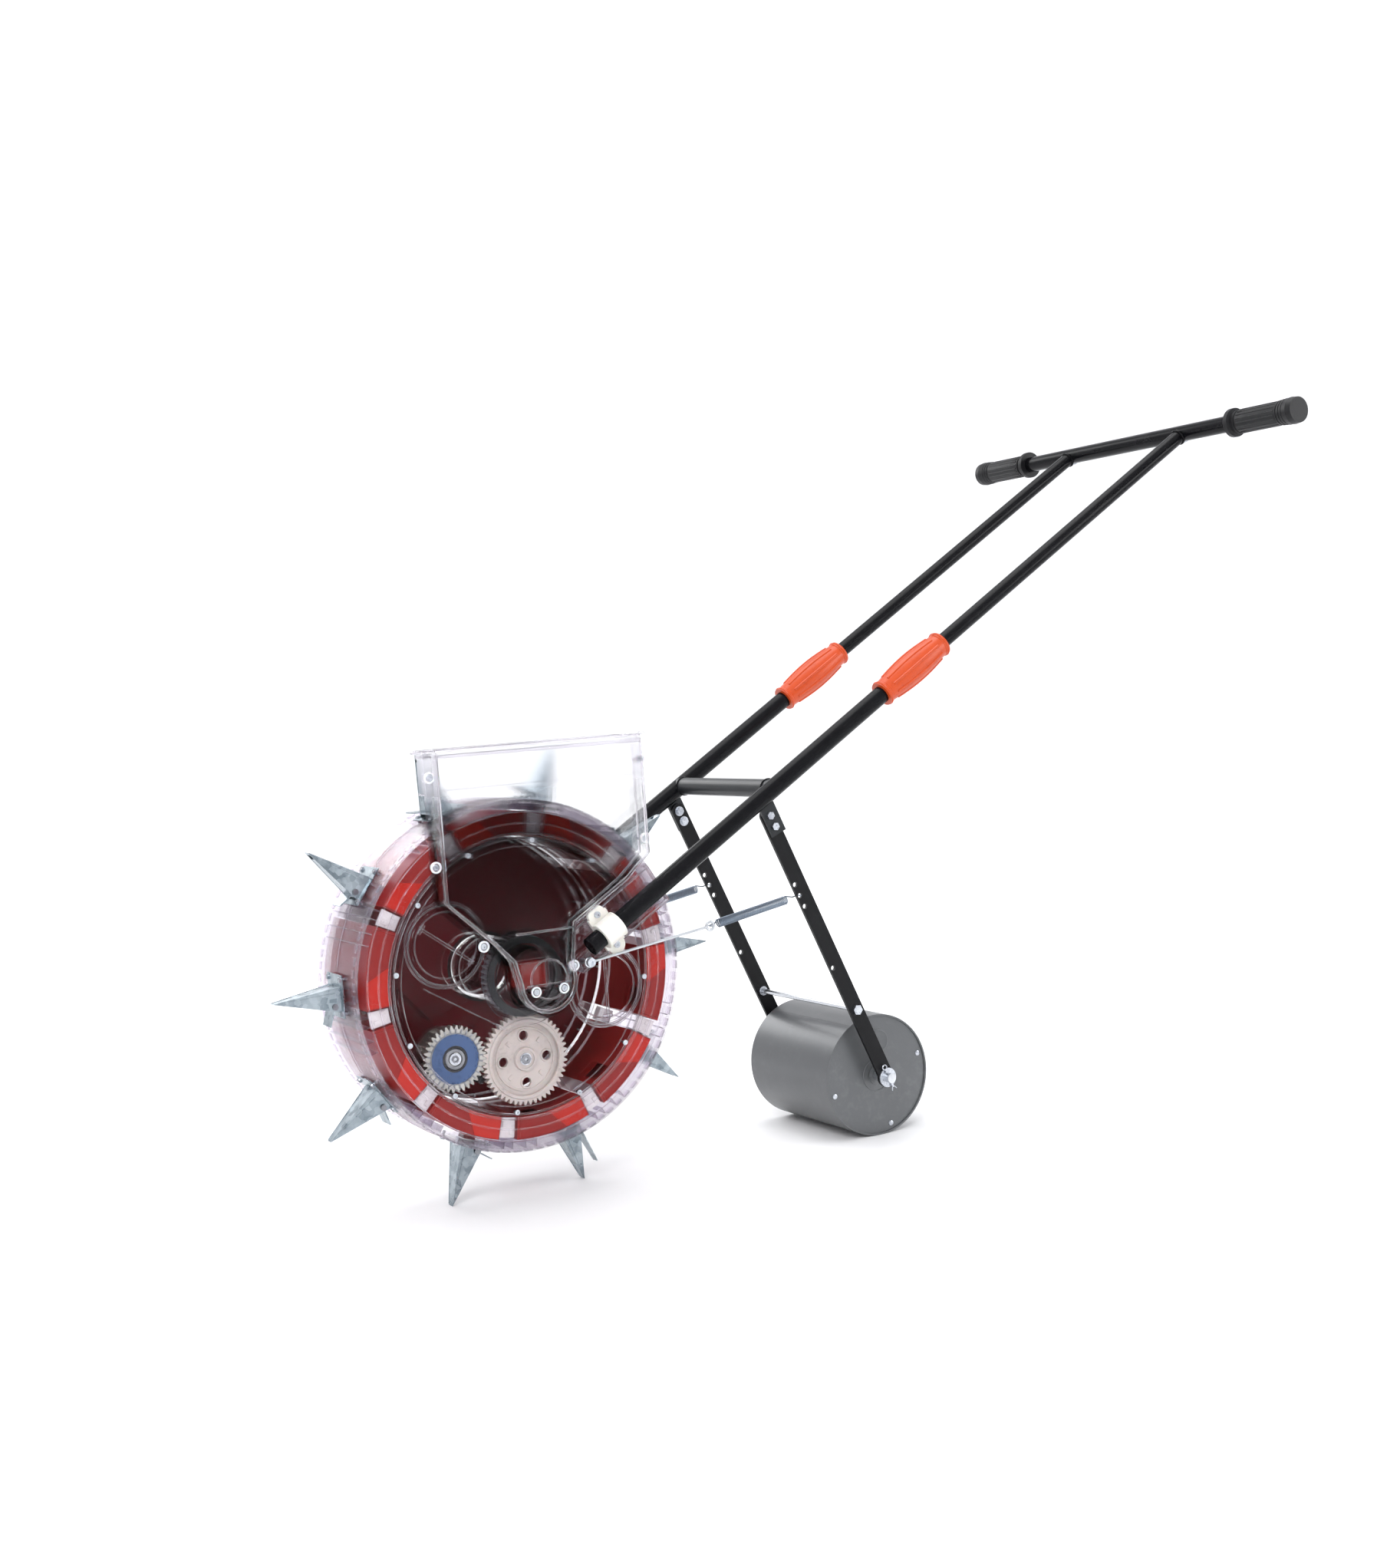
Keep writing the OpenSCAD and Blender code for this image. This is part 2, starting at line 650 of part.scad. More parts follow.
module beaks() {
    base = drum_r + sheet_t / 2;
    color("silver") at_axle() for (k = [0 : opener_count - 1]) at_opener(k) difference() {
        union() {
            intersection() {
                slab(-30, 30) polygon([[base, edge_v(v_closed, base)], [tip_r, 0], [base, edge_v(v_open, base)]]);
                beak_taper(0);
            }
            translate([drum_r, -flange_y, flange_v[0]])
                cube([sheet_t, 2 * flange_y, flange_v[1] - flange_v[0]]);
        }
        intersection() {
            slab(-30, 30) polygon([[drum_r - 4, edge_v(v_closed, drum_r - 4) + sheet_t], [tip_r, sheet_t],
                [tip_r, 60], [drum_r - 4, 60]]);
            beak_taper(sheet_t);
            translate([drum_r + sheet_t, -30, -30]) cube([100, 60, 100]);
        }
        translate([drum_r - 1, 0.5 - outlet_y, outlet_v[0] + 0.5])
            cube([10, 2 * outlet_y - 1, outlet_v[1] - outlet_v[0] - 1]);
        bar_y(pin_r, -30, 30, pin_at, 32);
        for (v = [-1, 1], y = [-1, 1]) translate([drum_r - 1, y * flange_screw[1], v * flange_screw[0]])
            rotate([0, 90, 0]) cylinder(r = 1.8 + slip_gap, h = 5, $fn = 24);
    }
}

module jaw_pins() {
    reach_y = depth_at(drum_r);
    color("gray") at_axle() for (k = [0 : opener_count - 1]) at_opener(k) {
        bar_y(pin_r, -reach_y - 1, reach_y + 1, pin_at, 32);
        for (s = [-1, 1]) bar_y(3.4, s * (reach_y + 0.7) - 0.7, s * (reach_y + 0.7) + 0.7, pin_at, 32);
    }
}

module jaw_springs() {
    color("silver") at_axle() for (k = [0 : opener_count - 1]) at_opener(k) difference() {
        bar_y(pin_r + 1.2, -5, 5, pin_at, 32);
        bar_y(pin_r, -6, 6, pin_at, 32);
    }
}

// Hinged half of a beak, with the lever foot that the soil pushes to open it
module jaw(k) {
    u0 = drum_r + 5;
    u1 = tip_r - jaw_short;
    skin = 0.3;
    open = k == held_index ? held_open : 0;
    cheek = depth_at(drum_r) - 3 * sheet_t - 2 * part_gap;
    heel = pin_at + [0.5, 3.7];
    foot = [pin_at[0] + 6, v_open + 15];
    color("silver") at_axle() at_opener(k - 1)
        translate([pin_at[0], 0, pin_at[1]]) rotate([0, -open, 0]) translate([-pin_at[0], 0, -pin_at[1]])
        difference() {
            intersection() {
                union() {
                    slab(-30, 30) polygon([[u0, edge_v(v_open, u0) - skin], [u0, edge_v(v_open, u0) - skin - sheet_t],
                        [u1, edge_v(v_open, u1) - skin - sheet_t], [u1, edge_v(v_open, u1) - skin]]);
                    slab(-29, 29) intersection() {
                        union() {
                            translate(pin_at) circle(ear_r);
                            strut2d(pin_at, pin_at + [9, 0], 2 * ear_r);
                        }
                        polygon([[drum_r, -20], [u1, -20], [u1, edge_v(v_open, u1) - skin],
                            [drum_r, edge_v(v_open, drum_r) - skin]]);
                    }
                    slab(-28, 28) strut2d(heel, foot, 1.4);
                }
                beak_taper(sheet_t + part_gap);
            }
            intersection() {
                translate([drum_r, -cheek, -30]) cube([100, 2 * cheek, 100]);
                slab(-30, 30) polygon([[drum_r, -5], [u1, -5], [u1, edge_v(v_open, u1) - skin - sheet_t],
                    [u0, edge_v(v_open, u0) - skin - sheet_t], [drum_r, edge_v(v_open, drum_r) - 2]]);
            }
            bar_y(pin_r + run_gap, -30, 30, pin_at, 32);
        }
}

// ---------- ports and lid ----------
module port_cap(i) {
    at = rim_point(port_at, port_angles[i]);
    color("lavender", 0.45) at_axle() {
        difference() {
            union() {
                bar_y(port_r + 3, -half_w - 1.8, -half_w - part_gap / 3, at, 96);
                bar_y(port_r - run_gap, -half_w - 1, -half_w + drum_wall + 1, at, 96);
            }
            bar_y(port_r - 3, -half_w - 0.2, -half_w + drum_wall + 2, at, 96);
        }
        translate([at[0], 0, at[1]]) rotate([0, -rib_angles[i], 0])
            translate([3 - port_r, -half_w - 4.2, -1.5]) cube([2 * port_r - 6, 3, 3]);
    }
}
module port_cap_front() { port_cap(0); }
module port_cap_rear() { port_cap(1); }

module hopper_lid() {
    x0 = hopper_left - lid_t - part_gap;
    z0 = hopper_top + part_gap;
    y0 = -hopper_front_y - lid_t - part_gap;
    y1 = -plate_y + lid_t + part_gap;
    color("lavender", 0.45) at_axle() difference() {
        union() {
            translate([x0, y0, z0 - lid_skirt]) cube([hopper_right - 1 - x0, y1 - y0, lid_skirt + lid_t]);
            for (y = [ear_near_y + 4.3, ear_far_y - 12.3]) {
                bar_y(4, y, y + 12, hinge_at, 32);
                slab(y, y + 12) strut2d([hopper_right - 3, z0 + lid_t / 2], hinge_at, lid_t);
            }
        }
        translate([hopper_left - part_gap, -hopper_front_y - part_gap, z0 - lid_skirt - 1])
            cube([hopper_w + 2, hopper_d + 2 * part_gap, lid_skirt + 1]);
        // Notch where the joint flange of the hopper passes the skirt
        translate([x0 - 1, -split_y - flange_t - 1, z0 - lid_skirt - 1])
            cube([lid_t + 2, 2 * flange_t + 2, lid_skirt + 1]);
        for (y = [ear_near_y, ear_far_y - 13]) bar_y(hinge_r + run_gap, y, y + 18, hinge_at, 32);
    }
}

// ---------- handle ----------
module lower_tube(far) {
    color("black") at_axle() mirror_far(far) along_handle() difference() {
        tube_x(lower_od / 2, 0, lower_len, -tube_y);
        tube_x(upper_od / 2 + slip_gap, -1, lower_len + 1, -tube_y);
    }
}
module lower_tube_near() { lower_tube(false); }
module lower_tube_far() { lower_tube(true); }

module cross_tube() {
    color("black") at_axle() along_handle() difference() {
        bar_y(lower_od / 2, -tube_y, tube_y, [cross_at, 0]);
        bar_y(lower_od / 2 - 1.5, -tube_y - 1, tube_y + 1, [cross_at, 0]);
        for (y = [-tube_y, tube_y]) tube_x(lower_od / 2, cross_at - 30, cross_at + 30, y);
    }
}

module arm_lugs() {
    color("black") at_axle() for (far = [false, true]) mirror_far(far) difference() {
        along_arm() difference() {
            slab(-tube_y - lug_t / 2, -tube_y + lug_t / 2) translate([-30, -9]) square([55, 21]);
            bar_y(bolt_r, -tube_y - 5, -tube_y + 5, fn = 32);
            sector(swing[0], swing[1]) translate([stop_at - bolt_r - 0.1, tube_y - 5])
                square([2 * bolt_r + 0.2, 10]);
            for (a = swing) bar_y(bolt_r + 0.1, -tube_y - 5, -tube_y + 5, rim_point(stop_at, a), 32);
        }
        along_handle() tube_x(lower_od / 2, 200, 400, -tube_y);
        along_handle() bar_y(lower_od / 2, -tube_y, tube_y, [cross_at, 0]);
    }
}

// Wire rods from the brackets to the springs
module pull_rods() {
    foot = on_handle(rod_foot);
    color("silver") at_axle() for (y = [-arm_y, arm_y]) {
        rod([foot[0] + 4, y, foot[1] + 0.5], [rod_end[0] - 5, y, rod_end[1] - 0.7], rod_wire);
        for (p = [foot, rod_end]) translate([p[0], y, p[1]]) rotate([90, 0, 0]) rotate_extrude($fn = 48)
            translate([bolt_r + rod_wire + 0.2, 0]) circle(rod_wire, $fn = 24);
    }
}

module upper_tube(far) {
    color("black") at_axle() mirror_far(far) along_handle() difference() {
        tube_x(upper_od / 2, lower_len - inside_len, reach, -tube_y);
        tube_x(upper_od / 2 - 1.2, lower_len - inside_len - 1, reach + 1, -tube_y);
        bar_y(bar_od / 2, -tube_y - 20, -tube_y + 20, [reach, 0]);
    }
}
module upper_tube_near() { upper_tube(false); }
module upper_tube_far() { upper_tube(true); }

module handlebar() {
    color("black") at_axle() along_handle() difference() {
        bar_y(bar_od / 2, 3 - bar_len / 2, bar_len / 2 - 3, [reach, 0]);
        bar_y(bar_od / 2 - 1.5, -bar_len, bar_len, [reach, 0]);
    }
}

module grips() {
    y0 = bar_len / 2 - grip_len;
    y1 = bar_len / 2;
    r = grip_od / 2;
    color("black") at_axle() along_handle() for (far = [false, true]) mirror_far(far)
        translate([reach, 0, 0]) mirror([0, 1, 0]) turned(64) polygon([
            [bar_od / 2, y0], [grip_flange_od / 2, y0], [grip_flange_od / 2, y0 + 6], [r - 1, y0 + 8],
            [r, y0 + 30], [r, y1 - 26], [r + 2, y1 - 8], [r + 1, y1], [0, y1], [0, y1 - 3], [bar_od / 2, y1 - 3]
        ]);
}

module sleeve(far) {
    r = sleeve_od / 2;
    x0 = sleeve_at;
    x1 = sleeve_at + sleeve_len;
    neck = lower_od / 2 + 4;
    bulge = [for (i = [0 : 12]) [x0 + 6 + (sleeve_len - 12) * i / 12, neck + (r - neck) * sin(15 * i)]];
    pocket = lower_od / 2 + 1.5;
    color("orangered") at_axle() mirror_far(far) along_handle() translate([0, -tube_y, 0])
        rotate([0, 90, 0]) rotate_extrude($fn = 64) polygon(concat(
            [[lower_od / 2 + run_gap, x0], [neck + 1, x0], [neck + 1, x0 + 5]],
            [for (p = bulge) [p[1], p[0]]],
            [[neck + 1, x1 - 5], [neck + 1, x1], [upper_od / 2 + run_gap, x1], [upper_od / 2 + run_gap, x1 - 4],
                [pocket, x1 - 4], [pocket, lower_len + 1], [lower_od / 2 + run_gap, lower_len + 1]]
        ));
}
module sleeve_near() { sleeve(false); }
module sleeve_far() { sleeve(true); }

// Split rings that the sleeves squeeze onto the upper tubes
module lock_collets() {
    x0 = lower_len + 1.3;
    x1 = sleeve_at + sleeve_len - 4.3;
    color("white") at_axle() for (far = [false, true]) mirror_far(far) along_handle() difference() {
        tube_x(lower_od / 2 + 1.4, x0, x1, -tube_y);
        tube_x(upper_od / 2 + run_gap, x0 - 1, x1 + 1, -tube_y);
        translate([x0 + 6, -tube_y - 1.5, 0]) cube([x1, 3, 30]);
    }
}

// ---------- press roller ----------
module arm(far) {
    half = arm_w / 2;
    color("black") at_axle() mirror_far(far) along_arm() difference() {
        slab(-arm_y - arm_t / 2, -arm_y + arm_t / 2) {
            translate([0, -half]) square([arm_len, arm_w]);
            circle(half);
            translate([arm_len, 0]) circle(half + 2);
        }
        for (p = concat([[0, 0], [stop_at, 0], [tie_at, 0], [low_hole_at, hole_side]],
            [for (i = [-1 : 1]) [hook_at + i * hole_gap, hole_side]]))
            bar_y(bolt_r + run_gap, -arm_y - arm_t, -arm_y + arm_t, p, 32);
        bar_y(axle_r, -arm_y - arm_t, -arm_y + arm_t, [arm_len, 0]);
    }
}
module arm_near() { arm(false); }
module arm_far() { arm(true); }

// Pivot and stop bolts, tie-rod nuts, axle washers and split pins
module arm_bolts() {
    lug_out = tube_y + lug_t / 2;
    arm_in = arm_y - arm_t / 2;
    arm_out = arm_y + arm_t / 2;
    color("silver") at_axle() for (far = [false, true]) mirror_far(far) along_arm() {
        for (x = [0, stop_at]) {
            bar_y(bolt_r - run_gap, -lug_out - 0.6, -arm_in + 1, [x, 0], 32);
            bar_y(5, -lug_out - 3, -lug_out - part_gap, [x, 0], 6);
            bar_y(5, -arm_in, -arm_in + 4, [x, 0], 6);
        }
        difference() {
            bar_y(6.5, -arm_out - 4, -arm_out, [tie_at, 0], 6);
            bar_y(bolt_r, -arm_out - 5, -arm_out + 1, [tie_at, 0], 32);
        }
        difference() {
            bar_y(axle_r + 6, -arm_out - 2, -arm_out, [arm_len, 0]);
            bar_y(axle_r, -arm_out - 3, -arm_out + 1, [arm_len, 0]);
        }
        translate([arm_len - 13, -arm_out - 5, -1.2]) cube([5.9, 2.4, 2.4]);
        translate([arm_len + 7.1, -arm_out - 5, -1.2]) cube([6, 2.4, 2.4]);
    }
}

module tie_rod() {
    color("silver") at_axle() along_arm() bar_y(bolt_r, -arm_y - 6, arm_y + 6, [tie_at, 0], 32);
}

module roller_axle() {
    end_y = arm_y + arm_t / 2 + 10;
    color("silver") at_axle() along_arm() bar_y(axle_r, -end_y, end_y, [arm_len, 0]);
}

// Wire that leaves a spring's end, runs beside a plate or ring and bends through its hole
module wire_hook(from, hole, y, side) {
    dir = (from - hole) / norm(from - hole);
    start = from + dir;
    bend = hole + 8 * dir;
    path = [[start[0], y, start[1]], [bend[0], y + side, bend[1]], [hole[0], y + side, hole[1]],
        [hole[0], y - side, hole[1]]];
    for (i = [0 : 2]) rod(path[i], path[i + 1], spring_wire / 2);
    for (i = [1, 2]) translate(path[i]) sphere(r = spring_wire * 0.55, $fn = 24);
}

// Extension springs that pull the arms forward, from the rods to the middle holes
module press_springs() {
    start = rod_end + [7, 1.2];
    hook = on_arm([hook_at, hole_side]);
    dir = (hook - start) / norm(hook - start);
    first = start + 4 * dir;
    last = start + 101 * dir;
    color("slategray") at_axle() for (y = [-arm_y, arm_y]) {
        difference() {
            rod([first[0], y, first[1]], [last[0], y, last[1]], spring_r, 32);
            rod([first[0], y, first[1]] + 2 * [dir[0], 0, dir[1]],
                [last[0], y, last[1]] - 2 * [dir[0], 0, dir[1]], spring_r - spring_wire, 32);
        }
        wire_hook(last, hook, y, arm_t / 2 + spring_wire);
        wire_hook(first, rod_end, y, rod_wire + spring_wire);
    }
}

module roller_barrel() {
    at = [axle_at[0], axle_at[1]];
    color("gray") at_axle() difference() {
        bar_y(press_r, -press_len / 2, press_len / 2, at, 128);
        bar_y(press_r - press_wall, -press_len, press_len, at, 128);
    }
}

module roller_ends() {
    face = press_len / 2 - 2;
    color("gray") at_axle() for (far = [false, true]) mirror_far(far) difference() {
        union() {
            bar_y(press_r - press_wall, -face, -face + 2, axle_at, 128);
            bar_y(axle_r + 6, -face - 1.5, -face + 24, axle_at);
        }
        bar_y(axle_r + run_gap, -face - 3, -face + 26, axle_at);
    }
}

hub_tube();
side_bracket_near();
side_bracket_far();
tube_clamps();
frame_screws();
hopper_front();
hopper_back();
hopper_screws();
meter_plate();
seed_trough();
brush();
gear_pins();
lower_tube_near();
lower_tube_far();
cross_tube();
arm_lugs();
pull_rods();
drum_shell_near();
drum_shell_far();
drum_cover_near();
drum_cover_far();
drum_screws();
sun_gear();
hub_seals();
seed_chambers();
beaks();
jaw_pins();
jaw_springs();
for (k = [1 : opener_count]) jaw(k);
idler_gear();
seed_roller();
roller_rim();
port_cap_front();
port_cap_rear();
hopper_lid();
upper_tube_near();
upper_tube_far();
handlebar();
grips();
sleeve_near();
sleeve_far();
lock_collets();
arm_near();
arm_far();
arm_bolts();
tie_rod();
roller_axle();
press_springs();
roller_barrel();
roller_ends();
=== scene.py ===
"""Looks of a hand-pushed rolling punch seeder, dressed around its fixed CAD frame.

Lengths in the sub-assembly classes are millimetres from the drum's axle, with +X to the handle,
+Y to the far side and +Z up. Each Sketch turns them into metres in the row's frame.
"""

from __future__ import annotations

import json
import logging
import math
import random
from dataclasses import dataclass, field
from enum import Enum
from typing import Sequence

import bmesh
import bpy
from mathutils import Matrix, Vector


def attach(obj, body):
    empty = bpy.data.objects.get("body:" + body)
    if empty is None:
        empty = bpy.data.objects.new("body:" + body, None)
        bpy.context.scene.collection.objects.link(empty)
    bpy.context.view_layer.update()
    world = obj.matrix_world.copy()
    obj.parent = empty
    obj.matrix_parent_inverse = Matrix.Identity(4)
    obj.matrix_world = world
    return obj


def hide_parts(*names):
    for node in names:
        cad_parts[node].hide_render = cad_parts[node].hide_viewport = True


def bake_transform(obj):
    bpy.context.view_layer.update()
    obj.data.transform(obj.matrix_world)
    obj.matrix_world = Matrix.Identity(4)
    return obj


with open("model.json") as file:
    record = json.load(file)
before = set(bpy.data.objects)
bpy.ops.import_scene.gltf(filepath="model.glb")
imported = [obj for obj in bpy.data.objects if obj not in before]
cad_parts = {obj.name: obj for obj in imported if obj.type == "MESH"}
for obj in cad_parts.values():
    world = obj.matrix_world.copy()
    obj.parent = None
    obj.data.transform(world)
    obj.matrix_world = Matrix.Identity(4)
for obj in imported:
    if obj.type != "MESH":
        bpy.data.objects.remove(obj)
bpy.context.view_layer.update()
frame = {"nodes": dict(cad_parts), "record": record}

LOG = logging.getLogger("seeder")
MM = 0.001
IDENTITY = Matrix.Identity(4)
Colour = tuple[float, float, float]
Point2 = tuple[float, float]


def joint_point(name: str) -> Vector:
    """Rest position of a joint in the row's frame, in metres.

    Args:
        name: The joint's name in the record.

    Returns:
        Its position.
    """
    joints = frame["record"]["behaviour"]["joints"]
    return Vector(next(j["pos_m"] for j in joints if j["name"] == name))


def polar(radius: float, degrees: float) -> Point2:
    """X and Z of a point at a radius and an angle."""
    return radius * math.cos(math.radians(degrees)), radius * math.sin(math.radians(degrees))


def turn_y(degrees: float) -> Matrix:
    """Rotation that turns +X towards +Z by an angle."""
    return Matrix.Rotation(-math.radians(degrees), 4, "Y")


AXLE_FRAME = Matrix.Translation(joint_point("drum_spin")) @ Matrix.Scale(MM, 4)
FIRST_ANGLE = 144.0
PITCH = 36.0
OPENERS = 10
HANDLE_ANGLE = 31.4
HANDLE_FRAME = AXLE_FRAME @ Matrix.Translation((61.7, 0, 29.1)) @ turn_y(HANDLE_ANGLE)
ARM_ANGLE = 23.5
ARM_FRAME = AXLE_FRAME @ Matrix.Translation((311, 0, 154.5)) @ turn_y(ARM_ANGLE - 90)
TUBE_Y = 111.8


def opener_frame(index: int) -> Matrix:
    """Frame of one opener: X is radial and outwards, Z runs along the rim."""
    return AXLE_FRAME @ turn_y(FIRST_ANGLE + PITCH * index)


# ---------- shader groups ----------
class Kind(Enum):
    """Socket types of a shader group."""

    VALUE = "NodeSocketFloat"
    COLOUR = "NodeSocketColor"
    VECTOR = "NodeSocketVector"


class NodeSheet:
    """Adds nodes to one node tree and links them."""

    def __init__(self, tree: bpy.types.NodeTree) -> None:
        """Keeps the tree to build in.

        Args:
            tree: A material's or a group's node tree.
        """
        self.tree = tree

    def add(self, kind: str, **settings: object) -> bpy.types.Node:
        """Adds a node.

        Args:
            kind: The node's type name, without the ShaderNode prefix.
            settings: Node properties, or input values under their index as i0, i1 and so on.

        Returns:
            The new node.
        """
        node = self.tree.nodes.new("ShaderNode" + kind)
        for key, value in settings.items():
            if key[0] == "i" and key[1:].isdigit():
                node.inputs[int(key[1:])].default_value = value
            else:
                setattr(node, key, value)
        return node

    def link(self, source: bpy.types.NodeSocket, target: bpy.types.NodeSocket) -> None:
        """Joins an output to an input."""
        self.tree.links.new(source, target)

    def math(self, operation: str, a: bpy.types.NodeSocket, b: object) -> bpy.types.NodeSocket:
        """Adds a Math node of one operation.

        Args:
            operation: The Math node's operation.
            a: First input.
            b: Second input, a socket or a number.

        Returns:
            The result socket.
        """
        node = self.add("Math", operation=operation)
        self.link(a, node.inputs[0])
        if isinstance(b, bpy.types.NodeSocket):
            self.link(b, node.inputs[1])
        else:
            node.inputs[1].default_value = b
        return node.outputs[0]

    def blend(self, factor: bpy.types.NodeSocket, a: object, b: object) -> bpy.types.NodeSocket:
        """Mixes two colours.

        Args:
            factor: Share of the second colour.
            a: First colour, a socket or RGB.
            b: Second colour, a socket or RGB.

        Returns:
            The mixed colour.
        """
        node = self.add("Mix", data_type="RGBA")
        self.link(factor, node.inputs[0])
        for slot, value in ((6, a), (7, b)):
            if isinstance(value, bpy.types.NodeSocket):
                self.link(value, node.inputs[slot])
            else:
                node.inputs[slot].default_value = (*value, 1)
        return node.outputs[2]

    def span(self, value: bpy.types.NodeSocket, low: float, high: float, start: float,
             end: float) -> bpy.types.NodeSocket:
        """Maps a value from one range to another, clamped.

        Args:
            value: The value to map.
            low: Start of its range.
            high: End of its range.
            start: Result at the start.
            end: Result at the end.

        Returns:
            The mapped value.
        """
        node = self.add("MapRange", i1=low, i2=high, i3=start, i4=end)
        self.link(value, node.inputs[0])
        return node.outputs[0]


SPECK_FINENESS = 9.0  # how much finer specks are than smudges
GRAIN_SHARE = 0.25  # grain's part of a skin's relief, beside its waviness
BUMP_DISTANCE = 0.002  # metres


class Effects:
    """Surface effects that several finishes share, each a shader group built once."""

    def __init__(self) -> None:
        """Builds all the groups."""
        self.marks = self._marks()
        self.relief = self._relief()
        self.spangle = self._spangle()
        self.drawn = self._drawn()

    @staticmethod
    def _open(name: str, inputs: Sequence[tuple], outputs: Sequence[tuple]) -> tuple:
        """Starts a group with its sockets.

        Args:
            name: The group's name.
            inputs: Name, kind and default of each input.
            outputs: Name and kind of each output.

        Returns:
            The group, its sheet, and its input and output nodes.
        """
        group = bpy.data.node_groups.new(name, "ShaderNodeTree")
        for label, kind, default in inputs:
            socket = group.interface.new_socket(name=label, in_out="INPUT", socket_type=kind.value)
            socket.default_value = default
        for label, kind in outputs:
            group.interface.new_socket(name=label, in_out="OUTPUT", socket_type=kind.value)
        sheet = NodeSheet(group)
        return group, sheet, group.nodes.new("NodeGroupInput"), group.nodes.new("NodeGroupOutput")

    def _marks(self) -> bpy.types.NodeTree:
        """Soft smudges broken up by fine specks.

        Returns:
            The node group.
        """
        group, s, given, out = self._open(
            "smudges_and_specks",
            (("Scale", Kind.VALUE, 30.0), ("Amount", Kind.VALUE, 0.5)),
            (("Mask", Kind.VALUE),),
        )
        place = s.add("TexCoord").outputs["Object"]
        broad = s.add("TexNoise", i3=4.0, i4=0.6)
        fine = s.add("TexNoise", i3=2.0, i4=0.7)
        for node in (broad, fine):
            s.link(place, node.inputs["Vector"])
        s.link(given.outputs["Scale"], broad.inputs["Scale"])
        s.link(s.math("MULTIPLY", given.outputs["Scale"], SPECK_FINENESS), fine.inputs["Scale"])
        cloud = s.span(broad.outputs[0], 0.42, 0.68, 0, 1)
        speck = s.span(fine.outputs[0], 0.48, 0.7, 0.25, 1)
        s.link(s.math("MULTIPLY", s.math("MULTIPLY", cloud, speck), given.outputs["Amount"]), out.inputs[0])
        return group

    def _relief(self) -> bpy.types.NodeTree:
        """Fine grain and slow waviness of a moulded, cast or painted skin.

        Returns:
            The node group.
        """
        group, s, given, out = self._open(
            "skin_relief",
            (("Grain", Kind.VALUE, 400.0), ("Wave", Kind.VALUE, 20.0), ("Depth", Kind.VALUE, 0.1)),
            (("Normal", Kind.VECTOR),),
        )
        place = s.add("TexCoord").outputs["Object"]
        grain = s.add("TexNoise")
        wave = s.add("TexNoise")
        for node, key in ((grain, "Grain"), (wave, "Wave")):
            s.link(place, node.inputs["Vector"])
            s.link(given.outputs[key], node.inputs["Scale"])
        height = s.math("ADD", s.math("MULTIPLY", grain.outputs[0], GRAIN_SHARE), wave.outputs[0])
        bump = s.add("Bump")
        bump.inputs["Distance"].default_value = BUMP_DISTANCE
        s.link(given.outputs["Depth"], bump.inputs["Strength"])
        s.link(height, bump.inputs["Height"])
        s.link(bump.outputs[0], out.inputs[0])
        return group

    def _spangle(self) -> bpy.types.NodeTree:
        """Crystal flowers of hot-dip zinc, with a blue cast in some of them.

        Returns:
            The node group.
        """
        group, s, given, out = self._open(
            "zinc_spangle",
            (("Scale", Kind.VALUE, 160.0), ("Light", Kind.COLOUR, (0.8, 0.8, 0.8, 1)),
             ("Dark", Kind.COLOUR, (0.4, 0.4, 0.4, 1))),
            (("Color", Kind.COLOUR), ("Value", Kind.VALUE)),
        )
        place = s.add("TexCoord").outputs["Object"]
        cells = s.add("TexVoronoi")
        s.link(place, cells.inputs["Vector"])
        s.link(given.outputs["Scale"], cells.inputs["Scale"])
        parts = s.add("SeparateColor")
        s.link(cells.outputs["Color"], parts.inputs[0])
        cloud = s.add("TexNoise", i2=55.0)
        s.link(place, cloud.inputs["Vector"])
        value = s.math("ADD", s.math("MULTIPLY", parts.outputs[0], 0.55),
                       s.span(cloud.outputs[0], 0.35, 0.65, 0, 0.45))
        s.link(s.blend(value, given.outputs["Dark"], given.outputs["Light"]), out.inputs[0])
        s.link(value, out.inputs[1])
        return group

    def _drawn(self) -> bpy.types.NodeTree:
        """Fine lines that drawing or turning leaves along one direction.

        Returns:
            The node group.
        """
        group, s, given, out = self._open(
            "drawn_lines",
            (("Along", Kind.VECTOR, (1.0, 1.0, 1.0)), ("Amount", Kind.VALUE, 0.3)),
            (("Mask", Kind.VALUE),),
        )
        place = s.add("TexCoord").outputs["Object"]
        stretch = s.add("VectorMath", operation="MULTIPLY")
        s.link(place, stretch.inputs[0])
        s.link(given.outputs["Along"], stretch.inputs[1])
        lines = s.add("TexNoise", i2=60.0, i3=5.0)
        s.link(stretch.outputs[0], lines.inputs["Vector"])
        s.link(s.math("MULTIPLY", s.span(lines.outputs[0], 0.4, 0.65, 0, 1), given.outputs["Amount"]),
               out.inputs[0])
        return group


EFFECTS = Effects()


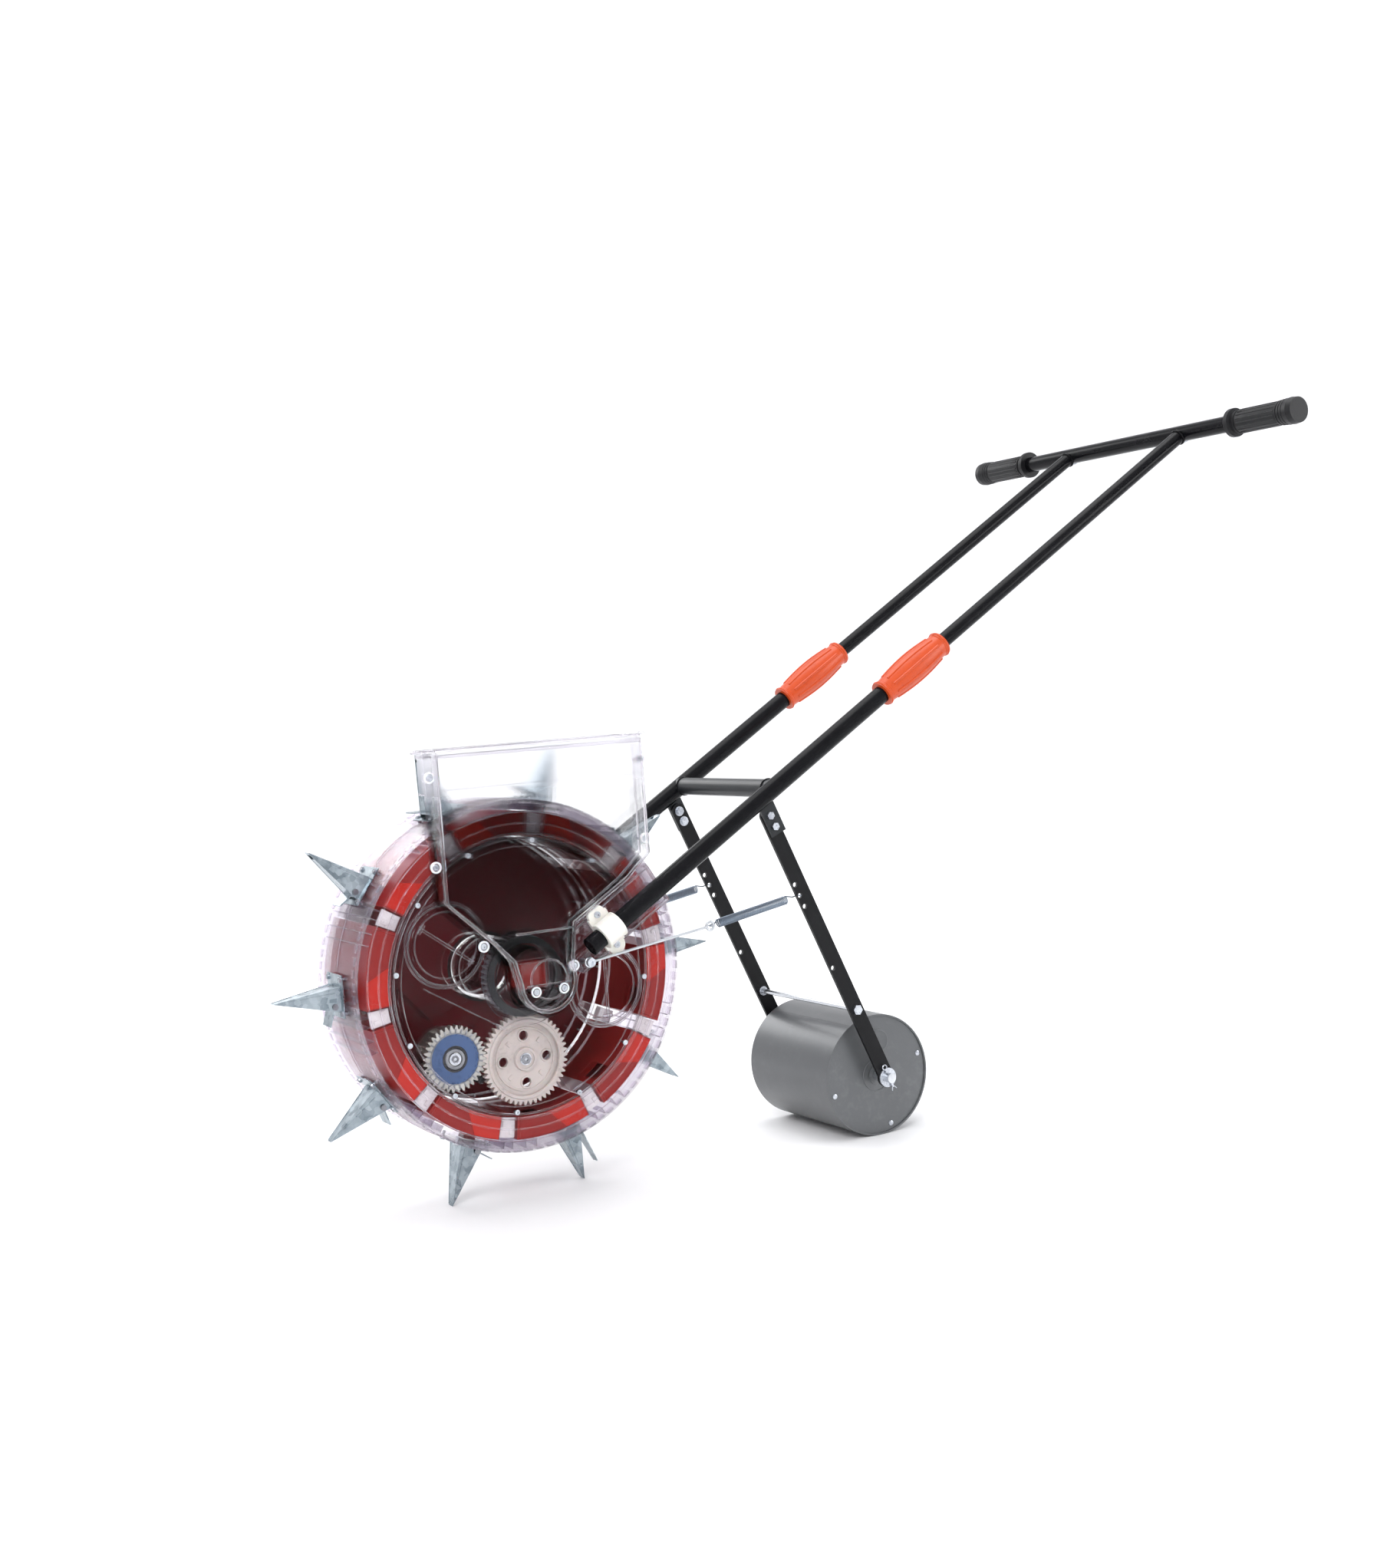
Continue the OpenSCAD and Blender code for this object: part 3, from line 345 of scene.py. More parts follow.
# ---------- finishes ----------
@dataclass(frozen=True)
class Finish:
    """An opaque finish: a base colour that smudges and grain break up."""

    name: str
    base: Colour
    mark: Colour
    roughness: float = 0.4
    mark_roughness: float = 0.6
    metallic: float = 0.0
    mark_scale: float = 30.0
    mark_amount: float = 0.5
    grain: float = 500.0
    wave: float = 30.0
    depth: float = 0.08
    coat: float = 0.0
    subsurface: float = 0.0
    specular: float = 0.5

    def start(self) -> tuple[bpy.types.Material, NodeSheet, bpy.types.Node]:
        """Makes the material with its Principled shader.

        Returns:
            The material, the sheet of its nodes and the shader.
        """
        material = bpy.data.materials.new(self.name)
        material.use_nodes = True
        sheet = NodeSheet(material.node_tree)
        shader = material.node_tree.nodes["Principled BSDF"]
        shader.inputs["Metallic"].default_value = self.metallic
        shader.inputs["Specular IOR Level"].default_value = self.specular
        shader.inputs["Coat Weight"].default_value = self.coat
        shader.inputs["Coat Roughness"].default_value = 0.08
        if self.subsurface:
            shader.inputs["Subsurface Weight"].default_value = self.subsurface
            shader.inputs["Subsurface Scale"].default_value = 0.004
        return material, sheet, shader

    def mask(self, s: NodeSheet) -> bpy.types.NodeSocket:
        """Places the smudges with this finish's values."""
        group = s.add("Group", node_tree=EFFECTS.marks)
        group.inputs["Scale"].default_value = self.mark_scale
        group.inputs["Amount"].default_value = self.mark_amount
        return group.outputs[0]

    def roughen(self, s: NodeSheet, shader: bpy.types.Node, mask: bpy.types.NodeSocket) -> None:
        """Drives roughness and relief.

        Args:
            s: The material's sheet.
            shader: Its Principled shader.
            mask: Where the marks are.
        """
        s.link(s.span(mask, 0, 1, self.roughness, self.mark_roughness), shader.inputs["Roughness"])
        skin = s.add("Group", node_tree=EFFECTS.relief)
        skin.inputs["Grain"].default_value = self.grain
        skin.inputs["Wave"].default_value = self.wave
        skin.inputs["Depth"].default_value = self.depth
        s.link(skin.outputs[0], shader.inputs["Normal"])

    def build(self) -> bpy.types.Material:
        """Makes the material.

        Returns:
            The material.
        """
        material, s, shader = self.start()
        mask = self.mask(s)
        s.link(s.blend(mask, self.base, self.mark), shader.inputs["Base Color"])
        self.roughen(s, shader, mask)
        return material


@dataclass(frozen=True)
class Zinc(Finish):
    """Galvanised sheet or plating, with spangles of two tones."""

    spangle: float = 160.0

    def build(self) -> bpy.types.Material:
        """Makes the material.

        Returns:
            The material.
        """
        material, s, shader = self.start()
        flowers = s.add("Group", node_tree=EFFECTS.spangle)
        flowers.inputs["Scale"].default_value = self.spangle
        flowers.inputs["Light"].default_value = (*self.base, 1)
        flowers.inputs["Dark"].default_value = (*self.mark, 1)
        s.link(flowers.outputs["Color"], shader.inputs["Base Color"])
        self.roughen(s, shader, flowers.outputs["Value"])
        return material


@dataclass(frozen=True)
class Drawn(Finish):
    """Metal with fine lines along one direction."""

    along: Colour = (1.0, 40.0, 1.0)

    def build(self) -> bpy.types.Material:
        """Makes the material.

        Returns:
            The material.
        """
        material, s, shader = self.start()
        lines = s.add("Group", node_tree=EFFECTS.drawn)
        lines.inputs["Along"].default_value = self.along
        lines.inputs["Amount"].default_value = self.mark_amount
        s.link(s.blend(lines.outputs[0], self.base, self.mark), shader.inputs["Base Color"])
        self.roughen(s, shader, lines.outputs[0])
        return material


@dataclass(frozen=True)
class Clear(Finish):
    """Clear moulded plastic whose edges carry a tint, with a milky haze between two heights in metres."""

    edge: Colour = (0.8, 0.7, 0.86)
    alpha: float = 0.5
    ior: float = 1.3
    edge_gain: float = 0.22
    edge_start: float = 0.35
    haze: Point2 = (0.0, 0.0)
    haze_gain: float = 0.3

    def build(self) -> bpy.types.Material:
        """Makes the material.

        Returns:
            The material.
        """
        material, s, shader = self.start()
        mask = self.mask(s)
        facing = s.add("LayerWeight", i0=0.5).outputs["Facing"]
        rim = s.span(facing, self.edge_start, 1.0, 0, 1)
        body = s.blend(mask, self.base, self.mark)
        s.link(s.blend(rim, body, self.edge), shader.inputs["Base Color"])
        self.roughen(s, shader, mask)
        shader.inputs["Transmission Weight"].default_value = 1.0
        shader.inputs["IOR"].default_value = self.ior
        alpha = s.span(rim, 0, 1, self.alpha, min(1.0, self.alpha + self.edge_gain))
        if self.haze[1] > self.haze[0]:
            height = s.add("SeparateXYZ")
            s.link(s.add("TexCoord").outputs["Object"], height.inputs[0])
            cloud = s.span(height.outputs[2], *self.haze, 0, self.haze_gain)
            alpha = s.math("ADD", alpha, cloud)
            s.link(s.math("ADD", s.span(mask, 0, 1, self.roughness, self.mark_roughness), cloud),
                   shader.inputs["Roughness"])
        s.link(alpha, shader.inputs["Alpha"])
        return material


CLEAR = dict(mark=(0.93, 0.93, 0.95), roughness=0.01, mark_roughness=0.03, mark_amount=0.4, depth=0.012,
             wave=26.0, grain=60.0)
FINISHES: dict[str, Finish] = {
    f.name: f
    for f in (
        Clear("clear_hub", (0.90, 0.80, 0.84), **CLEAR, edge=(0.50, 0.30, 0.40), alpha=0.09, edge_gain=0.12,
              ior=1.15),
        Clear("bracket_clear", (0.93, 0.91, 0.96), **CLEAR, edge=(0.62, 0.52, 0.72), alpha=0.3),
        Clear("hopper_clear", (0.97, 0.97, 0.985), **CLEAR, edge=(0.66, 0.60, 0.75), alpha=0.14, ior=1.12,
              haze=(0.452, 0.485), haze_gain=0.36),
        Clear("lid_clear", (0.97, 0.97, 0.985), **CLEAR, edge=(0.82, 0.78, 0.88), alpha=0.16),
        Clear("meter_clear", (0.93, 0.92, 0.95), **CLEAR, edge=(0.80, 0.72, 0.85), alpha=0.16),
        Clear("drum_clear", (0.95, 0.91, 0.96), **CLEAR, edge=(0.58, 0.44, 0.66), alpha=0.16, ior=1.2),
        Clear("cap_clear", (0.95, 0.91, 0.96), **CLEAR, edge=(0.60, 0.46, 0.68), alpha=0.18, ior=1.2),
        Finish("clamp_white", (0.84, 0.82, 0.76), (0.68, 0.65, 0.57), 0.38, 0.6, subsurface=0.15),
        Finish("collet_white", (0.74, 0.72, 0.66), (0.6, 0.58, 0.52), 0.45, 0.6),
        Zinc("zinc_screws", (0.72, 0.75, 0.8), (0.36, 0.38, 0.42), 0.22, 0.38, metallic=1.0, spangle=500.0),
        Zinc("beak_zinc", (0.46, 0.52, 0.56), (0.17, 0.21, 0.24), 0.22, 0.4, metallic=1.0, depth=0.12),
        Drawn("rod_zinc", (0.66, 0.68, 0.71), (0.4, 0.42, 0.45), 0.24, 0.42, metallic=1.0),
        Drawn("pin_steel", (0.3, 0.31, 0.33), (0.12, 0.12, 0.13), 0.3, 0.5, metallic=1.0),
        Drawn("spring_steel", (0.24, 0.29, 0.35), (0.09, 0.11, 0.15), 0.25, 0.45, metallic=1.0),
        Finish("brush_black", (0.03, 0.03, 0.035), (0.1, 0.1, 0.1), 0.6, 0.8),
        Finish("tube_black", (0.004, 0.004, 0.005), (0.012, 0.012, 0.014), 0.18, 0.3, depth=0.04,
               specular=0.13),
        Finish("cross_grey", (0.018, 0.02, 0.022), (0.04, 0.042, 0.046), 0.36, 0.5, depth=0.1, specular=0.3),
        Finish("arm_black", (0.005, 0.005, 0.006), (0.016, 0.016, 0.018), 0.3, 0.45, specular=0.2),
        # Darker red than the chambers: painted shade, as the far cover lies in shadow inside the drum; the
        # hub plug shares it.
        Finish("cover_red", (0.115, 0.007, 0.010), (0.065, 0.004, 0.007), 0.3, 0.45, wave=12.0, specular=0.3),
        Finish("gear_grey", (0.25, 0.24, 0.26), (0.16, 0.16, 0.17), 0.4, 0.55),
        Finish("seal_black", (0.012, 0.012, 0.013), (0.04, 0.04, 0.045), 0.35, 0.55),
        Finish("chamber_red", (0.27, 0.013, 0.011), (0.15, 0.007, 0.008), 0.3, 0.45, specular=0.35),
        Finish("gear_white", (0.56, 0.50, 0.47), (0.36, 0.31, 0.29), 0.34, 0.5, subsurface=0.2,
               mark_amount=0.9),
        Drawn("roller_silver", (0.5, 0.49, 0.46), (0.26, 0.25, 0.22), 0.3, 0.5, metallic=0.9),
        Finish("ring_blue", (0.05, 0.10, 0.23), (0.025, 0.05, 0.13), 0.3, 0.5, mark_amount=0.9),
        Finish("grip_black", (0.006, 0.006, 0.007), (0.018, 0.018, 0.02), 0.42, 0.62, depth=0.16, grain=900.0,
               specular=0.3),
        Finish("sleeve_orange", (0.58, 0.070, 0.012), (0.36, 0.030, 0.008), 0.28, 0.45, specular=0.4),
        Finish("roller_grey", (0.115, 0.12, 0.125), (0.20, 0.205, 0.21), 0.34, 0.5, metallic=0.35,
               mark_scale=9.0, depth=0.12, wave=14.0),
    )
}
# Brighter red than the chambers: painted highlight on the chutes' slanted facets.
CHUTE_HIGHLIGHT = Finish("chute_painted_highlight", (0.48, 0.018, 0.010), (0.30, 0.012, 0.008), 0.25, 0.4, specular=0.35)
FROST = Clear("frosted_clear", (0.88, 0.80, 0.91), (0.70, 0.62, 0.78), 0.1, 0.35, mark_amount=1.0,
              mark_scale=60.0, depth=0.2, wave=80.0, edge=(0.46, 0.34, 0.56), alpha=0.5, edge_start=0.2)
# Near-white, mostly opaque beads on the clear parts' real edges and ridges; their pale colour, darker at the
# rims, is painted highlight.
HIGHLIGHT_BEAD = Clear("bead_painted_highlight", (0.96, 0.93, 0.98), (0.84, 0.76, 0.88), 0.06, 0.2, mark_amount=0.9,
             mark_scale=50.0,
             depth=0.1, wave=60.0, edge=(0.30, 0.22, 0.37), alpha=0.66, ior=1.45, edge_start=0.42)
MILK = Clear("milky_rim", (0.86, 0.78, 0.90), (0.60, 0.50, 0.68), 0.08, 0.25, mark_amount=1.3,
             mark_scale=42.0,
             depth=0.25, wave=90.0, edge=(0.50, 0.38, 0.60), alpha=0.26, ior=1.15, edge_gain=0.34,
             edge_start=0.3)
DIVIDER = Finish("divider_white", (0.74, 0.70, 0.72), (0.42, 0.34, 0.37), 0.2, 0.4, mark_scale=45.0,
                 mark_amount=1.2, depth=0.3, wave=90.0)
PANE = Finish("window_red", (0.22, 0.014, 0.012), (0.13, 0.008, 0.01), 0.15, 0.3, coat=0.5)
BOSS = Finish("boss_white", (0.82, 0.82, 0.85), (0.66, 0.66, 0.7), 0.25, 0.45, subsurface=0.3)
# Near-black ring around the roller's bearing: painted shade of the bore's recess.
BORE_SHADE = Finish("bore_painted_shade", (0.02, 0.02, 0.022), (0.05, 0.05, 0.05), 0.5, 0.7)


class Paintbox:
    """Builds each finish once and hands it out."""

    def __init__(self) -> None:
        """Starts empty."""
        self.made: dict[str, bpy.types.Material] = {}

    def get(self, finish: Finish) -> bpy.types.Material:
        """The material of a finish, built on first use."""
        if finish.name not in self.made:
            self.made[finish.name] = finish.build()
        return self.made[finish.name]

    def dress_frame(self) -> None:
        """Gives every CAD node the finish of its material slot."""
        for part in frame["record"]["subparts"]:
            node = frame["nodes"][part["node"]]
            material = self.get(FINISHES[part["material_slot"]])
            for slot in node.material_slots:
                slot.material = material


PAINT = Paintbox()


# ---------- meshes ----------
class Sketch:
    """One piece's mesh under construction, drawn in the millimetres of a local frame."""

    def __init__(self, place: Matrix = AXLE_FRAME) -> None:
        """Starts an empty mesh.

        Args:
            place: Matrix from the drawing's millimetres to the row's metres.
        """
        self.mesh = bmesh.new()
        self.place = place

    def loft(self, rings: list[list[Vector]], close: bool, caps: bool) -> None:
        """Skins rings of points that have the same count.

        Args:
            rings: Rings in order.
            close: Whether the last ring joins the first.
            caps: Whether the end rings are filled.
        """
        rows = [[self.mesh.verts.new(self.place @ p) for p in ring] for ring in rings]
        count = len(rows[0])
        pairs = list(zip(rows, rows[1:])) + ([(rows[-1], rows[0])] if close else [])
        for a, b in pairs:
            for i in range(count):
                j = (i + 1) % count
                self.mesh.faces.new((a[i], a[j], b[j], b[i]))
        if caps:
            self.mesh.faces.new(rows[0][::-1])
            self.mesh.faces.new(rows[-1])

    def prism(self, outline: Sequence[Point2], y0: float, y1: float) -> "Sketch":
        """Extrudes an outline in X and Z between two depths."""
        self.loft([[Vector((x, y, z)) for x, z in outline] for y in (y0, y1)], False, True)
        return self

    def box(self, low: Sequence[float], high: Sequence[float], turn: Matrix = IDENTITY) -> "Sketch":
        """Adds a block with eased edges.

        Args:
            low: Its lowest corner.
            high: Its highest corner.
            turn: Matrix applied before the sketch's own frame.

        Returns:
            The sketch.
        """
        a, b = Vector(low), Vector(high)
        ease = min(abs(c) for c in (b - a)) * 0.18
        rings = []
        for y, inset in ((a.y, ease), (a.y + ease, 0), (b.y - ease, 0), (b.y, ease)):
            x0, x1, z0, z1 = a.x + inset, b.x - inset, a.z + inset, b.z - inset
            corners = ((x0, z0 + ease), (x0 + ease, z0), (x1 - ease, z0), (x1, z0 + ease),
                       (x1, z1 - ease), (x1 - ease, z1), (x0 + ease, z1), (x0, z1 - ease))
            rings.append([turn @ Vector((x, y, z)) for x, z in corners])
        self.loft(rings, False, True)
        return self

    def lathe(self, profile: Sequence[Point2], centre: Point2, sides: int = 48,
              turn: Matrix = IDENTITY) -> "Sketch":
        """Turns a closed profile about an axis along Y.

        Args:
            profile: Radius and Y of each corner, going round.
            centre: X and Z of the axis.
            sides: Facets around.
            turn: Matrix applied before the sketch's own frame.

        Returns:
            The sketch.
        """
        steps = [2 * math.pi * i / sides for i in range(sides)]
        rings = [
            [turn @ Vector((centre[0] + max(r, 0.01) * math.cos(t), y,
                            centre[1] + max(r, 0.01) * math.sin(t)))
             for t in steps]
            for r, y in profile
        ]
        self.loft(rings, True, False)
        return self

    def wire(self, path: Sequence[Sequence[float]], radius: float, sides: int = 8,
             closed: bool = False) -> "Sketch":
        """Sweeps a round section along a path.

        Args:
            path: Points of the centre line.
            radius: Radius of the section.
            sides: Facets around.
            closed: Whether the path is a loop.

        Returns:
            The sketch.
        """
        points = [Vector(p) for p in path]
        count = len(points)
        rings: list[list[Vector]] = []
        normal: Vector | None = None
        for i, p in enumerate(points):
            ahead = points[(i + 1) % count] if closed or i + 1 < count else p
            behind = points[i - 1] if closed or i else p
            along = (ahead - behind).normalized()
            if normal is None:
                normal = along.orthogonal().normalized()
            normal = (normal - along * normal.dot(along)).normalized()
            side = along.cross(normal)
            rings.append([
                p + radius * (math.cos(t) * normal + math.sin(t) * side)
                for t in (2 * math.pi * k / sides for k in range(sides))
            ])
        self.loft(rings, closed, not closed)
        return self

    def ring(self, radius: float, wire: float, centre: Point2, y: float, sides: int = 96) -> "Sketch":
        """Adds a round bead that circles an axis along Y."""
        loop = [(centre[0] + p[0], y, centre[1] + p[1])
                for p in (polar(radius, 360 * i / sides) for i in range(sides))]
        return self.wire(loop, wire, 8, True)

    def make(self, name: str, finish: Finish) -> bpy.types.Object:
        """Turns the sketch into a dressed object that rides on nothing yet.

        Args:
            name: The piece's name.
            finish: Its finish.

        Returns:
            The new object.
        """
        bmesh.ops.remove_doubles(self.mesh, verts=self.mesh.verts, dist=1e-7)
        bmesh.ops.recalc_face_normals(self.mesh, faces=self.mesh.faces)
        data = bpy.data.meshes.new(name)
        self.mesh.to_mesh(data)
        self.mesh.free()
        for face in data.polygons:
            face.use_smooth = True
        data.set_sharp_from_angle(angle=math.radians(32))
        piece = bpy.data.objects.new(name, data)
        bpy.context.scene.collection.objects.link(piece)
        data.materials.append(PAINT.get(finish))
        LOG.info("%s: %d faces", name, len(data.polygons))
        return piece

    def build(self, name: str, body: str, finish: Finish, slot: str) -> bpy.types.Object:
        """Makes the object and has it ride on a body.

        Args:
            name: The piece's name.
            body: The CAD body that it moves with.
            finish: Its finish.
            slot: The record's material slot that it belongs to; not used.

        Returns:
            The new object.
        """
        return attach(self.make(name, finish), body)


def slot_piece(sketch: Sketch, name: str, body: str, slot: str) -> bpy.types.Object:
    """Builds a piece in the plain finish of its record slot."""
    return sketch.build(name, body, FINISHES[slot], slot)


# ---------- drum ----------
@dataclass
class Drum:
    """Clear drum with its chambers, cover and beaks."""

    rim: float = 200.0
    half: float = 63.5
    cover: float = 158.0
    chamber: Point2 = (160.0, 187.0)
    chamber_face: float = 57.4
    chamber_span: Point2 = (-24.5, 4.5)
    ports: tuple[Point2, ...] = ((104.0, 153.0), (104.0, -14.0))
    port_radius: float = 43.0
    beak_depth: Point2 = (32.0, 11.0)
    pin: Point2 = (208.0, 10.98)
    cover_ribs: tuple[tuple[Point2, Point2], ...] = (((-122, 2), (-26, -58)),)

    def rim_bumps(self) -> None:
        """Small moulded bricks around both edges of the rim, clear of the beaks' feet."""
        sketch = Sketch()
        step = 4.0
        for i in range(int(360 / step)):
            angle = i * step
            from_beak = (angle - FIRST_ANGLE + PITCH / 2) % PITCH - PITCH / 2
            for side in (-1, 1):
                y = side * (self.half - 10)
                if abs(from_beak) < 8:
                    y = side * (self.half - 8)
                sketch.box((self.rim - 0.6, y - 4, -4.6), (self.rim + 1.1, y + 4, 4.6), turn_y(angle))
        sketch.build("rim_bumps", "drum", FROST, "drum_clear")

    def rim_band(self) -> None:
        """Milky textured skin of the rim, drawn as one ring on each half."""
        sketch = Sketch()
        out = self.rim + 0.35
        for side in (-1, 1):
            edge, seam = side * (self.half - 0.4), side * 1.2
            sketch.lathe([(out - 2.6, seam), (out, seam), (out, edge), (out - 2.6, edge)], (0, 0), 180)
        sketch.build("rim_band", "drum", MILK, "drum_clear")

    def face_ridges(self) -> None:
        """Round ridges on both faces, and the raised seam where the two halves meet."""
        sketch = Sketch()
        for side in (-1, 1):
            for radius, bead in ((162.0, 1.6), (174.0, 1.1), (187.0, 1.0)):
                sketch.ring(radius, bead, (0, 0), side * self.half, 144)
        for angle in (i * PITCH + FIRST_ANGLE + PITCH / 2 for i in range(OPENERS)):
            points = [(*polar(self.rim + 0.3, angle + k - 9), 0) for k in range(19)]
            sketch.wire([(x, y, z) for x, z, y in points], 1.1)
        for start, end in self.cover_ribs:
            sketch.wire([(start[0], -self.half, start[1]), (end[0], -self.half, end[1])], 0.9)
        # The ridges' near-white colour is painted highlight.
        sketch.build("face_ridges", "drum", HIGHLIGHT_BEAD, "drum_clear")

    def inner_webs(self) -> None:
        """Thin webs that stiffen the rim between the chambers."""
        sketch = Sketch()
        for i in range(OPENERS):
            middle = FIRST_ANGLE + PITCH * i + 8
            for offset in (-1.6, 1.6, 6.5, 10.5):
                for side in (-1, 1):
                    y = (2.0, self.half - 3.6) if side > 0 else (3.6 - self.half, -2.0)
                    sketch.box((188.5, y[0], -0.6), (196.6, y[1], 0.6), turn_y(middle + offset))
        sketch.build("inner_webs", "drum", FROST, "drum_clear")

    def chutes(self) -> None:
        """Slanted facets that lead the seed to each chamber's outlet, in a brighter red than the chambers:
        painted highlight.
        """
        sketch = Sketch()
        end = self.chamber_span[1]
        for i in range(OPENERS):
            middle = FIRST_ANGLE + PITCH * i
            for side in (-1, 1):
                face = side * (self.chamber_face + 0.15)
                top = side * (self.chamber_face + 2.2)
                outer = [polar(self.chamber[1] - 1, middle + end - k) for k in (0.6, 5.0, 9.5)]
                inner = [polar(self.chamber[0] + 1, middle + end - k) for k in (15.5, 8.0, 0.6)]
                flat = [Vector((x, face, z)) for x, z in outer + inner]
                high = [Vector((x, top if n in (0, 5) else face + side * 0.5, z))
                        for n, (x, z) in enumerate(outer + inner)]
                sketch.loft([flat, high], False, True)
        sketch.build("chamber_chute_highlights", "drum", CHUTE_HIGHLIGHT, "chamber_red")

    def dividers(self) -> None:
        """Pale moulded plates that fill the gaps between neighbouring chambers."""
        sketch = Sketch()
        low = self.chamber_span[1] + 0.6
        high = PITCH + self.chamber_span[0] - 0.6
        for i in range(OPENERS):
            middle = FIRST_ANGLE + PITCH * i
            for side in (-1, 1):
                y = side * (self.chamber_face - 4)
                angles = [middle + low + (high - low) * k / 4 for k in range(5)]
                outline = [polar(self.chamber[1] - 2, a) for a in angles]
                outline += [polar(self.chamber[0] + 2, a) for a in angles[::-1]]
                sketch.prism(outline, min(y, y - side * 2.4), max(y, y - side * 2.4))
                for a, r0, r1 in ((middle + low + 1.2, 166, 172), (middle + high - 1.6, 174, 181)):
                    sketch.box((r0, min(y, y + side * 1.5), -2), (r1, max(y, y + side * 1.5), 2), turn_y(a))
        sketch.build("chamber_dividers", "drum", DIVIDER, "drum_clear")

    def chamber_ridges(self) -> None:
        """Raised borders on the chambers' faces."""
        sketch = Sketch()
        a0, a1 = self.chamber_span
        for i in range(OPENERS):
            middle = FIRST_ANGLE + PITCH * i
            outline = [polar(self.chamber[1] - 1.4, middle + a0 + 1 + (a1 - a0 - 2) * k / 12)
                       for k in range(13)]
            outline += [polar(self.chamber[0] + 1.4, middle + a1 - 1 - (a1 - a0 - 2) * k / 12)
                        for k in range(13)]
            for side in (-1, 1):
                sketch.wire([(x, side * self.chamber_face, z) for x, z in outline], 0.7, 6, True)
        slot_piece(sketch, "chamber_ridges", "drum", "chamber_red")

    def port_rims(self) -> None:
        """Collars around the two ports of the near cover, and the cover's edge bead."""
        sketch = Sketch()
        for radius, angle in self.ports:
            sketch.ring(self.port_radius + 5, 1.2, polar(radius, angle), -self.half)
        sketch.ring(self.cover - 1.2, 1.3, (0, 0), -self.half, 144)
        sketch.ring(148.0, 0.8, (0, 0), -self.half, 144)
        # The collars' near-white colour is painted highlight.
        sketch.build("port_rims", "drum", HIGHLIGHT_BEAD, "drum_clear")

    def beak_seams(self) -> None:
        """Folded edges and pressed ribs of the beaks' sheet."""
        sketch = Sketch()
        for i in range(OPENERS):
            sketch.place = opener_frame(i)
            for side in (-1, 1):
                base, tip = self.beak_depth[0] / 2, self.beak_depth[1] / 2
                sketch.wire([(202, side * base, -10.6), (273, side * (tip + 0.2), -0.1)], 0.7)
                sketch.wire([(207, side * (base - 1.0), -4.5), (212, side * (base - 1.5), -4.0),
                             (250, side * (tip + 3.3), -1.2), (257, side * (tip + 2.2), -0.8)], 0.8)
        slot_piece(sketch, "beak_seams", "drum", "beak_zinc")

    def foot_washers(self) -> None:
        """Black washers of the screws that hold the beaks' feet."""
        sketch = Sketch()
        for i in range(OPENERS):
            sketch.place = opener_frame(i)
            for v in (-19, 19):
                for y in (-20, 20):
                    circle = [(203.3, y + 2.4 * math.cos(t), v + 2.4 * math.sin(t))
                              for t in (math.pi * k / 6 for k in range(12))]
                    sketch.wire(circle, 0.35, 6, True)
        sketch.build("foot_washers", "drum", FINISHES["pin_steel"], "pin_steel")

    def jaw_coils(self) -> None:
        """Wound springs around the jaws' hinge pins, with a leg on each side."""
        sketch = Sketch()
        turns, wire = 9, 0.45
        steps = turns * 12
        for i in range(OPENERS):
            sketch.place = opener_frame(i)
            u, v = self.pin
            coil = [(u + 2.7 * math.cos(math.pi * k / 6), -5 + 10 * k / steps,
                     v + 2.7 * math.sin(math.pi * k / 6))
                    for k in range(steps + 1)]
            sketch.wire([(u + 9, -5, v - 14), (u + 3, -5, v - 1.5)] + coil + [(u + 3, 5, v - 1.5),
                                                                              (u + 9, 5, v - 14)],
                        wire, 6)
        coils = slot_piece(sketch, "jaw_coils", "drum", "pin_steel")
        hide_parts("jaw_springs")

    def dress(self) -> None:
        """Builds all the drum's pieces."""
        self.rim_bumps()
        self.rim_band()
        self.face_ridges()
        self.inner_webs()
        self.chutes()
        self.dividers()
        self.chamber_ridges()
        self.port_rims()
        self.beak_seams()
        self.foot_washers()
        self.jaw_coils()


@dataclass
class PortCap:
    """Twist cap of one port, with its rim bead and finger dimples."""

    name: str
    centre: Point2
    rib_angle: float
    radius: float = 43.0
    face: float = -65.3

    def dress(self) -> None:
        """Builds the cap's bead, step and thumb stops."""
        sketch = Sketch()
        sketch.ring(self.radius + 1.8, 1.3, self.centre, self.face)
        sketch.ring(self.radius - 6, 1.0, self.centre, self.face)
        here = Matrix.Translation((self.centre[0], 0, self.centre[1])) @ turn_y(self.rib_angle)
        for x in (-self.radius + 8, self.radius - 8):
            sketch.box((x - 2, self.face - 2.2, -6), (x + 2, self.face + 0.2, 6), here)
        for z in (-1.4, 1.4):
            ends = [here @ Vector((x, self.face - 2.2, z)) for x in (4 - self.radius, self.radius - 4)]
            sketch.wire(ends, 0.6)
        # The beads' near-white colour is painted highlight.
        sketch.build(self.name + "_beads", self.name, HIGHLIGHT_BEAD, "cap_clear")


